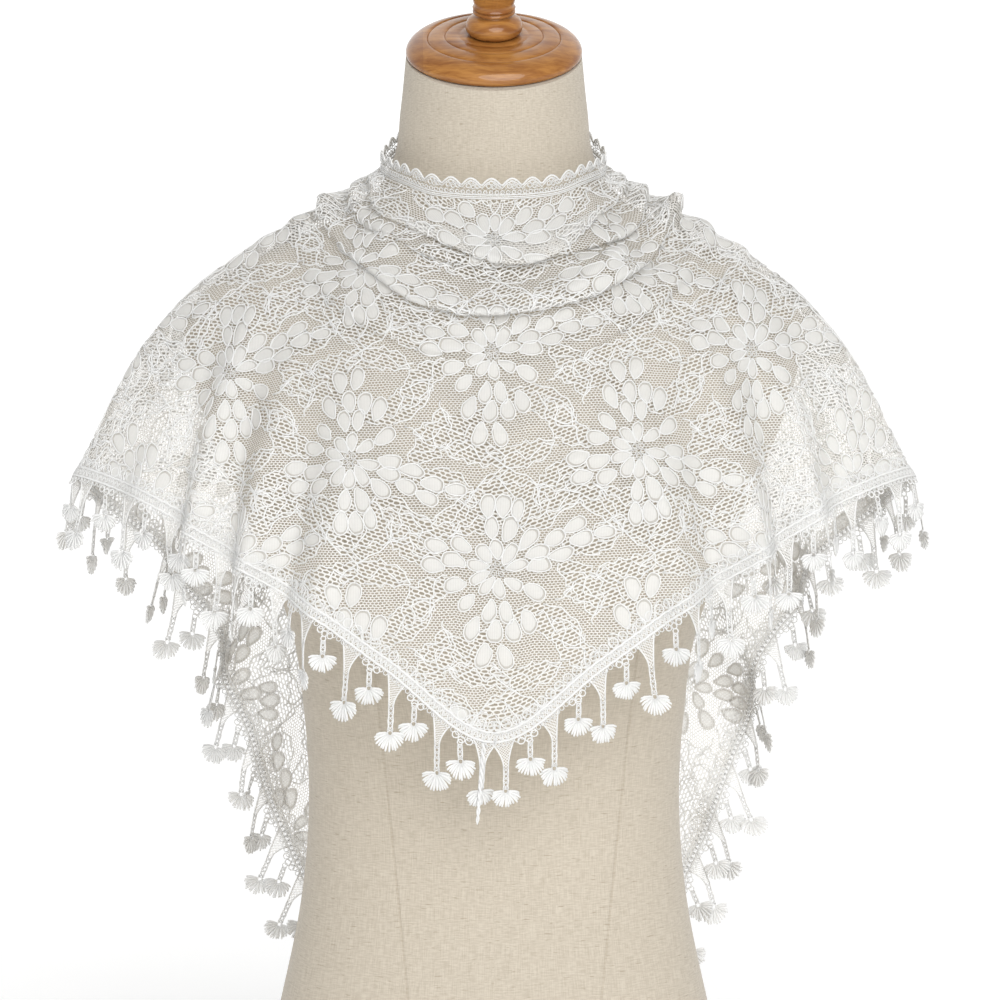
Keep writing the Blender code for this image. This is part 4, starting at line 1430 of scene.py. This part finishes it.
def clear_stretches(lines, closed):
    """Lines that no petal covers, as they are, and the open stretches that are left of others."""
    whole, parts = [], []
    for line in lines:
        covered = under_petals(line)
        if not covered.any():
            whole.append(line)
            continue
        if closed:
            first = int(np.argmax(covered))
            line, covered = np.roll(line, -first, axis=0), np.roll(covered, -first)
        kept = np.flatnonzero(~covered)
        for stretch in np.split(kept, np.flatnonzero(np.diff(kept) > 1) + 1):
            if len(stretch) > 2:
                parts.append(line[stretch])
    return whole, parts


print("petals that can cover a cord:", len(petal_outlines))

# %% Cords of the leaves and garlands
leaf_cords = Threads()
whole, parts = clear_stretches([leaf_outline(leaf) for leaf in LEAVES], True)
leaf_cords.draw(cloth, repeated(whole), GARLAND_RADIUS, CORD_LIFT, True)
leaf_cords.draw(cloth, repeated(parts), GARLAND_RADIUS, CORD_LIFT)
leaf_cord_piece = leaf_cords.piece("veil_leaf_cords", CORD, [], "lace")

vein_cords = Threads()
whole, parts = clear_stretches([leaf_vein(leaf) for leaf in LEAVES] + garland_cords(), False)
vein_cords.draw(cloth, repeated(whole + parts), GARLAND_RADIUS, CORD_LIFT)
vein_cord_piece = vein_cords.piece("veil_garland_cords", CORD, [], "lace")

# %% [markdown]
# ## Narrow cloths for the trimmings
# The edging and the head of the fringe are worked thread by thread, on a ground that is
# dissolved afterwards, so that only thread is left. Each of them follows an edge of the veil.
# A strip along that edge, measured along it and across it, is one more cloth to draw on, so the
# same threads can be used as on the veil itself.

# %% Strips along the edges
EDGING_HEIGHT = 0.0140
SCALLOP_PITCH = 0.0122
SCALLOP_DEPTH = 0.0050
NECK_STOP = 0.025
TAIL_START = 0.012
STRIP_STEP = 0.0022


def long_edge(first, last):
    """Even steps along the veil's long edge: points, and the way out past the edge."""
    line, under = grid[:, 0], grid[:, 1]
    run = run_along(line)
    ends = np.interp([first, last], places, run)
    at = np.linspace(*ends, round((ends[1] - ends[0]) / STRIP_STEP) + 1)
    points, below = (
        np.stack([np.interp(at, run, column) for column in rows.T], axis=1)
        for rows in (line, under)
    )
    along = unit(np.gradient(points, axis=0))
    way = points - below
    return points, unit(way - along * np.sum(way * along, axis=1, keepdims=True))


def strip(line, way, widths):
    """A narrow cloth along a line. Its flat coordinates run along the line and across it."""
    points = line[:, None] + way[:, None] * widths[None, :, None]
    points = clear_of_form(points, REST_GAP + HALF_WALL)
    along, across = np.broadcast_arrays(run_along(line)[:, None], widths[None, :])
    return Cloth(points, np.stack([along, across], axis=2))


EDGING_WIDTHS = np.linspace(EDGING_HEIGHT, SEAM, 8)
neck_line, _ = long_edge(NECK_STOP - NAPE, NAPE - NECK_STOP)
neck_way = np.broadcast_to(AXIS, neck_line.shape)
edging_cloths = {"edging_neck": strip(neck_line, neck_way, EDGING_WIDTHS)}
for word, side in (("left", -1), ("right", 1)):
    first, last = sorted([side * (NAPE + TAIL_START), side * TAIL])
    edging_cloths[f"edging_tail_{word}"] = strip(*long_edge(first, last), EDGING_WIDTHS)
for name, narrow in edging_cloths.items():
    print(name, "is", round(float(narrow.flat[-1, 0, 0]), 3), "m long")

# %% [markdown]
# ## The scalloped edging
# It stands up round the neck: three cords at its foot, a row of eyelets, and a scallop every
# 12 mm that holds a wheel of small rings. All of it is thread, so all of it is drawn as
# thread, over a see-through ground of finer thread.

# %% Lines of the edging
FOOT_CORDS = (0.0007, 0.0031)
MIDDLE_CORD = 0.0019
EYELET_PITCH = 0.0034
WHEEL_ANGLES = np.radians((-8, 62, 118, 188))


def circle(x, y, radius, points=8):
    t = turns(points)
    return np.stack([x + radius * np.cos(t), y + radius * np.sin(t)], axis=1)


def scallop_line(length, drop, step=0.00135):
    """The wavy top of the edging, lowered by drop."""
    s = np.linspace(0, length, int(length / step))
    waves = np.abs(np.sin(math.pi * s / SCALLOP_PITCH))
    return np.stack([s, EDGING_HEIGHT - SCALLOP_DEPTH * (1 - waves) - drop], axis=1)


def straight(length, height, step=0.0027):
    s = np.linspace(0, length, int(length / step))
    return np.stack([s, np.full_like(s, height)], axis=1)


def trim_ground_paint(name, pitch, fill):
    """Fine crossing threads with small holes between."""
    paint = Paint(name, 0.6)
    x, y, _ = paint.parts(paint.stored("flat"))
    waver = paint.noise(paint.stored("flat"), 300.0) - 0.5
    a = ((x + y + waver * 0.0008) / pitch).math("FRACT") - 0.5
    b = ((x - y + waver * 0.0008) / pitch).math("FRACT") - 0.5
    threads = abs(a).math("MAXIMUM", abs(b))
    thread = threads.smoother(fill - 0.05, fill + 0.05)
    paint.feed("Alpha", thread)
    paint.let_light_through(thread * NET_GLOW_SHARE, THREAD_GLOW)
    shade = paint.noise(paint.stored("flat"), 700.0)
    paint.feed("Base Color", paint.mix(shade, rgb(0.80, 0.795, 0.775), rgb(0.90, 0.895, 0.88)))
    return paint


EDGING_GROUND = trim_ground_paint("edging_ground", 0.0036, 0.455)
TOOTH_GROUND = trim_ground_paint("tooth_net", 0.0017, 0.31)
print("a scallop every", SCALLOP_PITCH * 1000, "mm")


# %% Draw the edging
def edging(name):
    """Cords, eyelets and scallops of one edging, and the ground that they lie on."""
    narrow = edging_cloths[name]
    length = narrow.flat[-1, 0, 0]
    threads = Threads()
    threads.draw(narrow, [straight(length, h) for h in FOOT_CORDS], 0.00052)
    threads.draw(narrow, [straight(length, MIDDLE_CORD)], 0.00045, 0.0003)
    threads.draw(narrow, [scallop_line(length, 0.0004)], 0.00068)
    threads.draw(narrow, [scallop_line(length, 0.0022, 0.0017)], 0.00042, sides=3)
    count = round(length / SCALLOP_PITCH)
    middles = (np.arange(count) + 0.5) * length / count
    eyelets = [circle(s, 0.0047, 0.0012, 7) for s in np.arange(0.0018, length, EYELET_PITCH)]
    threads.draw(narrow, eyelets, 0.00045, closed=True, sides=3)
    loops = []
    for s in middles:
        for angle in WHEEL_ANGLES:
            x, y = s + 0.0029 * math.cos(angle), 0.0090 + 0.0022 * math.sin(angle)
            loops.append(circle(x, y, 0.0014, 8))
        loops.append(circle(s, 0.0080, 0.0012, 7))
    threads.draw(narrow, loops, 0.00042, closed=True, sides=3)
    piece = threads.piece(name.replace("edging", "scallops"), TRIM, [name], "trim")
    shares = np.linspace(1, 0, 7)
    tops = np.interp(narrow.flat[:, 0, 0], *scallop_line(length, 0.0006).T)
    spots = np.stack(
        [np.broadcast_to(narrow.flat[:, :1, 0], (len(tops), 7)), tops[:, None] * shares], axis=2
    )
    points, _, _ = narrow.lay(spots.reshape(-1, 2))
    ground = make_piece(
        name.replace("edging", "ground"),
        points,
        grid_faces(len(tops), 7),
        EDGING_GROUND,
        [],
        "trim",
    )
    store_flat(ground, spots.reshape(-1, 2))
    return [piece, ground]


edging_pieces = [piece for name in edging_cloths for piece in edging(name)]

# %% [markdown]
# ## The fringe
# Two rows make it. The head is a row of rings on the net and a firm band of cords over the cut
# edge. Below the band, long and short tassels take turns. A long one grows from a tooth of
# fine net into a ladder stem, and a short one hangs from three rings. Each ends in a fan of
# loose loops, spread like a small brush. The places are those of the solids' tassels.

# %% Where the tassels hang
BAND_WIDTH = 0.0090
BAND_WALL = 0.0012
WIDEST_STEP = 0.0175
SPLIT = 0.415
SPLIT_GAP = 0.00048
SWAY = 0.10
SWAY_TURN = 2.4
UP = np.array([0, 0, 1.0])
SOLID_SHARES = np.interp(np.linspace(0, 1, 27), [0, 0.62, 1], [0, COWL_SHARE, 1])
FRINGES = [
    # name, side, first, last, fall, bare, rows of the solid
    ("fringe_front_left", -1, -SPLIT + SPLIT_GAP, SPLIT - SPLIT_GAP, 0.75, 0.0, 1),
    ("fringe_front_right", 1, -SPLIT + SPLIT_GAP, SPLIT - SPLIT_GAP, 0.75, 0.0, 1),
    ("fringe_back_left", -1, -TAIL, -SPLIT - SPLIT_GAP, 0.50, 0.012, 2),
    ("fringe_back_right", 1, SPLIT + SPLIT_GAP, TAIL, 0.50, 0.012, 2),
]


def panel_places(first, last):
    """Lines of a stretch along the edge: on each flute, halfway between two, evenly past."""
    flutes = [side * place for side, place, *_ in FLUTES if first < side * place < last]
    middle = [0.0] if first < 0 < last else []
    knots = sorted([first, last] + flutes + middle)
    lines = [first]
    for low, high in zip(knots, knots[1:]):
        steps = max(math.ceil((high - low) / WIDEST_STEP), 2)
        lines += list(np.linspace(low, high, steps + 1)[1:])
    return np.array(lines)


def hanging_lines(side, first, last, fall, bare, row_step):
    """Root, drop, side and face of every tassel of one fringe, and whether it is long."""
    lines = panel_places(first, last)
    inner = drape(lines, SOLID_SHARES)[:, ::row_step]
    normals = grid_normals(inner)[:, -1]
    kept = lines * side >= 0
    lines, normals = lines[kept], normals[kept]
    edge = inner[kept, -1]
    way = unit(edge - inner[kept, -2])
    foot = edge + way * (SEAM + BAND_WIDTH) + normals * BAND_WALL / 2
    tassels = []
    for i in range(len(lines) - 1):
        place = (lines[i] + lines[i + 1]) / 2
        if abs(abs(place) - SPLIT) < bare:
            continue
        out = unit(normals[i] + normals[i + 1])
        drop = unit(unit(way[i] + way[i + 1]) * (1 - fall) - UP * fall)
        drop = unit(drop + out * SWAY * math.sin(SWAY_TURN * i))
        across = unit(foot[i + 1] - foot[i])
        across = unit(across - drop * (across @ drop))
        face = np.cross(across, drop)
        tassels.append((place, (foot[i] + foot[i + 1]) / 2, drop, across, face, i % 2 == 0))
    return tassels


print("fringes:", len(FRINGES), "with a short or long tassel in turn")

# %% A strip along the hem
HEM_WIDTHS = np.linspace(-0.009, 0.0105, 10)


def hem_cloth():
    """A strip along the whole fringed edge: on the net, then straight out past it."""
    edge = flat[:, -1]
    along = unit(np.gradient(edge, axis=0))
    inward = np.stack([-along[:, 1], along[:, 0]], axis=1)
    on_net = np.minimum(HEM_WIDTHS, -0.0012)
    spots = edge[:, None] - inward[:, None] * on_net[None, :, None]
    inner = cloth.lay(spots.reshape(-1, 2))[0].reshape(LINES, len(HEM_WIDTHS), 3)
    rim = grid[:, -1]
    along = unit(np.gradient(rim, axis=0))
    way = rim - inner[:, -1]
    way = unit(way - along * np.sum(way * along, axis=1, keepdims=True))
    past = rim[:, None] + way[:, None] * HEM_WIDTHS[None, :, None]
    points = np.where((HEM_WIDTHS < -0.001)[None, :, None], inner, past)
    run = run_along(rim)
    run = run - run[LINES // 2]
    runs, across = np.broadcast_arrays(run[:, None], HEM_WIDTHS[None, :])
    return Cloth(points, np.stack([runs, across], axis=2)), run


hem, hem_run = hem_cloth()
print("fringed edge on the hem strip:", round(float(np.ptp(hem_run)), 3), "m")

# %% [markdown]
# ## The head of the fringe
# The cut edge of net would fray, so a firm band closes it: two thick cords with a wavy one
# between them. Above the band a row of rings lies on the net, and small loops hang below it.

# %% Head of the fringe
RING_PITCH = 0.0066
LOOP_PITCH = 0.0034
BAND_CORDS = (-0.0024, 0.0030)


def head(threads, first, last):
    """Rings on the net, the band of cords over its edge, and loops below the band."""
    length = last - first
    count = round(length / RING_PITCH)
    rings, crosses = [], []
    for k in range(count):
        s = first + (k + 0.5) * length / count
        rings.append(circle(s, -0.0060, 0.0029, 9))
        crosses.append(np.array([(s - 0.0022, -0.0080), (s, -0.0061), (s + 0.0023, -0.0042)]))
        crosses.append(np.array([(s + 0.0020, -0.0080), (s, -0.0059), (s - 0.0021, -0.0042)]))
    threads.draw(hem, rings, 0.00056, 0.0005, closed=True)
    threads.draw(hem, crosses, 0.00032, 0.0004, sides=3)
    s = np.linspace(first, last, int(length / 0.0027))
    cords = [np.stack([s, across + 0.0002 * np.sin(s * 900)], 1) for across in BAND_CORDS]
    threads.draw(hem, cords, 0.00095, 0.0006)
    s = np.arange(first, last, 0.00056)
    wave = np.sin(np.arange(len(s)) * 2 * math.pi / 6)
    threads.draw(hem, [np.stack([s, 0.0003 + 0.0020 * wave], axis=1)], 0.00072, 0.0007, sides=3)
    loops = [circle(x, 0.0046, 0.0013, 7) for x in np.arange(first + 0.0017, last, LOOP_PITCH)]
    threads.draw(hem, loops, 0.00042, 0.0003, closed=True, sides=3)


def band_ground(first, last):
    """The close ground under the band's cords."""
    s = np.linspace(first, last, int((last - first) / 0.0045))
    spots = np.stack(np.broadcast_arrays(s[:, None], np.linspace(-0.0028, 0.0036, 4)), axis=2)
    points, _, _ = hem.lay(spots.reshape(-1, 2), 0.0009)
    return points, grid_faces(len(s), 4), spots.reshape(-1, 2)


print("a ring every", RING_PITCH * 1000, "mm")

# %% [markdown]
# ## Tassels
# A tassel is drawn in its own plane and then turned and bent a little, because no two hang
# alike. Its fan is seventeen loose loops of yarn that start at one ring. They are thick in the
# middle and thin at the end, which gives the fan its soft, brush-like rim.

# %% Tassels
LONG_TASSEL = {"tooth": 0.0066, "knee": 0.0125, "hub": 0.0290, "fan": 0.0112, "fingers": 17}
SHORT_TASSEL = {"tooth": 0.0030, "knee": 0.0010, "hub": 0.0125, "fan": 0.0108, "fingers": 17}


class Tassel:
    """One tassel's own plane: x across it, y down it, and depth out of it."""

    def __init__(self, middle, drop, across, face, twist, bend, size):
        self.middle, self.drop, self.across, self.face = middle, drop, across, face
        self.twist, self.bend, self.size = twist, bend, size

    def place(self, spots, depth=0.0):
        """Points in space. The stem bends, and twists more the further down it goes."""
        x, y = np.asarray(spots, float).T
        share = np.clip(y / 0.03, 0, 1.4)
        angle = self.twist * np.clip(share * 1.6, 0, 1)
        x = x + self.bend * share**2 * np.cos(angle)
        across = np.cos(angle)[:, None] * self.across + np.sin(angle)[:, None] * self.face
        face = np.cos(angle)[:, None] * self.face - np.sin(angle)[:, None] * self.across
        depth = np.broadcast_to(depth, x.shape)
        points = self.middle + across * x[:, None] + self.drop * (y * self.size)[:, None]
        return points + face * depth[:, None], face

    def funnel(self, top, foot, points=6):
        """A curve from a point of the band, in space, that narrows to a spot of the stem."""
        t = np.linspace(0, 1, points)[:, None]
        end = self.place([foot])[0][0]
        across = (top - end) @ self.across * self.across
        down = (top - end) - across
        line = end + across * (1 - t) ** 1.8 + down * (1 - t)
        return line, np.broadcast_to(self.face, line.shape)


print("fingers of a fan:", LONG_TASSEL["fingers"])

# %% Fan and ladder of a tassel
FAN_SPREAD = 1.72
FINGER_RADII = np.array([0.00045, 0.00082, 0.00092, 0.00078, 0.00034])


def draw_fan(threads, tassel, hub, reach, fingers):
    """Loose loops round a hub, from one side over the foot to the other."""
    angles = np.linspace(-FAN_SPREAD, FAN_SPREAD, fingers) + rng.uniform(-0.05, 0.05, fingers)
    for k, angle in enumerate(angles):
        long = reach * (1 - 0.20 * abs(angle / FAN_SPREAD) ** 2) * rng.uniform(0.90, 1.03)
        r = np.array([0.0010, 0.35 * long, 0.72 * long, 0.94 * long, long])
        curl = angle * (1 - 0.16 * (r / long) ** 2)
        spots = np.stack([r * np.sin(curl), hub + r * np.cos(curl)], axis=1)
        lift = 0.0005 * (k % 2) + 0.0012 * np.sin(angle * 1.3 + 0.5) * (r / long) ** 2
        line, normal = tassel.place(spots, lift)
        threads.add(line, normal, FINGER_RADII, flatness=0.7)


def draw_ladder(threads, tassel, top, foot, width, rungs):
    """Two cords with crossing threads between them."""
    y = np.linspace(top, foot, rungs + 1)
    for side in (-1, 1):
        line, normal = tassel.place(np.stack([side * width * (1 + 0.15 * np.cos(y * 900)), y], 1))
        threads.add(line, normal, 0.00055)
    for k in range(rungs):
        for side in (-1, 1):
            spots = [(side * width, y[k]), (-side * width, y[k + 1])]
            line, normal = tassel.place(spots)
            threads.add(line, normal, 0.00038, sides=3)


print("a fan spreads", round(math.degrees(2 * FAN_SPREAD)), "degrees")

# %% A whole tassel
SHORT_RINGS = [(-0.0040, 0.0062), (0.0, 0.0070), (0.0040, 0.0062)]
TOOTH_TOP = 0.0030
TOOTH_NECK = 0.0013
LOOSE_END = 0.048


def draw_tassel(threads, fills, tassel, run, is_long):
    """A whole tassel below the band. fills gathers the net of its tooth."""
    style = LONG_TASSEL if is_long else SHORT_TASSEL
    hub = style["hub"]
    if is_long:
        ends = [(run + side * style["tooth"], TOOTH_TOP) for side in (-1, 1)]
        corners, _, _ = hem.lay(ends)
        sides = [
            tassel.funnel(corner, (x, style["knee"]))
            for corner, x in zip(corners, (-TOOTH_NECK, TOOTH_NECK))
        ]
        for line, normal in sides:
            threads.add(line, normal, 0.0006)
        fills.append([line for line, _ in sides])
        draw_ladder(threads, tassel, style["knee"], hub - 0.0016, TOOTH_NECK, 5)
    else:
        rings = [circle(run + x, y, 0.0019) for x, y in SHORT_RINGS]
        threads.draw(hem, rings, 0.0005, 0.0003, closed=True)
        line, normal = tassel.place(circle(0.0, 0.0012, 0.0016))
        threads.add(line, normal, 0.0005, closed=True)
        draw_ladder(threads, tassel, 0.0026, hub - 0.0016, 0.0012, 3)
    line, normal = tassel.place(circle(0.0, hub, 0.0017, 8), 0.0006)
    threads.add(line, normal, 0.0005, closed=True)
    draw_fan(threads, tassel, hub, style["fan"], style["fingers"])


def tooth_net(fills, ground):
    """Net of all teeth of a fringe and the ground of its band, as one piece's parts."""
    points, faces, spots = [ground[0]], list(ground[1]), [ground[2]]
    start = len(ground[0])
    for left, right in fills:
        rows = np.stack([left + (right - left) * share for share in (0, 0.33, 0.67, 1)], axis=1)
        width = np.linalg.norm(right - left, axis=1)[:, None] * (np.linspace(0, 1, 4) - 0.5)
        depth = np.broadcast_to(run_along(left)[:, None], width.shape)
        points.append(rows.reshape(-1, 3))
        spots.append(np.stack([width, depth], axis=2).reshape(-1, 2))
        faces += [[c + start for c in face] for face in grid_faces(len(rows), 4)]
        start += rows.shape[0] * 4
    return np.concatenate(points), faces, np.concatenate(spots)


def loose_end(threads):
    """The end of the band's yarn, left to hang from the veil's point: two twisted strands."""
    start, normal, _ = hem.lay([(-0.0050, 0.0040)])
    t = np.linspace(0, 1, 44)
    for phase in (0, math.pi):
        wind = 30 * t + phase
        swing = 0.0009 * (1 - 0.4 * t)
        x, y = swing * np.cos(wind) - 0.004 * t, swing * np.sin(wind)
        line = np.stack([x, y, -LOOSE_END * t], axis=1)
        radius = np.interp(t, [0, 0.9, 1], [0.0010, 0.0009, 0.0004])
        threads.add(start[0] + line, np.broadcast_to(normal[0], line.shape), radius)


print("the loose end is", LOOSE_END * 1000, "mm long")


# %% Draw the fringes
def fringe(name, side, first, last, fall, bare, row_step):
    """One fringe: its head and tassels as thread, and its band and teeth as fine net."""
    near = 0.0 if first * last < 0 else min(abs(first), abs(last))
    far = max(abs(first), abs(last))
    low, high = np.interp(sorted([side * near, side * far]), places, hem_run)
    threads, fills = Threads(), []
    head(threads, low, high)
    hanging = hanging_lines(side, first, last, fall, bare, row_step)
    for place, middle, drop, across, face, is_long in hanging:
        twist = float(np.clip(rng.normal(0, 0.38), -1.2, 1.2))
        size = rng.uniform(0.93, 1.03) * (0.86 if abs(place) < 0.02 else 1.0)
        tassel = Tassel(middle, drop, across, face, twist, rng.uniform(-0.003, 0.003), size)
        run = np.interp(place, places, hem_run)
        start, _, _ = hem.lay([(run, 0.0), (run + 0.001, 0.0)])
        run = run + (middle - start[0]) @ unit(start[1] - start[0])
        draw_tassel(threads, fills, tassel, run, is_long)
    if name == "fringe_front_left":
        loose_end(threads)
    piece = threads.piece(name.replace("fringe", "tassels"), TRIM, [name], "trim")
    points, faces, spots = tooth_net(fills, band_ground(low, high))
    net = make_piece(name.replace("fringe", "teeth"), points, faces, TOOTH_GROUND, [], "trim")
    store_flat(net, spots)
    return [piece, net]


fringe_pieces = [piece for row in FRINGES for piece in fringe(*row)]
print("fringe pieces:", len(fringe_pieces))

# %% [markdown]
# ## The pieces and their triangles
# The veil was a flat triangle before it was worn, 1.50 m along its long edge and 0.55 m deep.
# That is the usual size of such veils. The drape above holds somewhat less cloth than that.

cords = [petal_cord_piece, leaf_cord_piece, vein_cord_piece]
veil_parts = [petals, rims, *cords, *edging_pieces, *fringe_pieces]
pieces = [veil, *veil_parts, body, cap, finial]
faces = [face for piece in pieces for face in piece.data.polygons]
print("triangles in all:", sum(len(face.vertices) - 2 for face in faces))
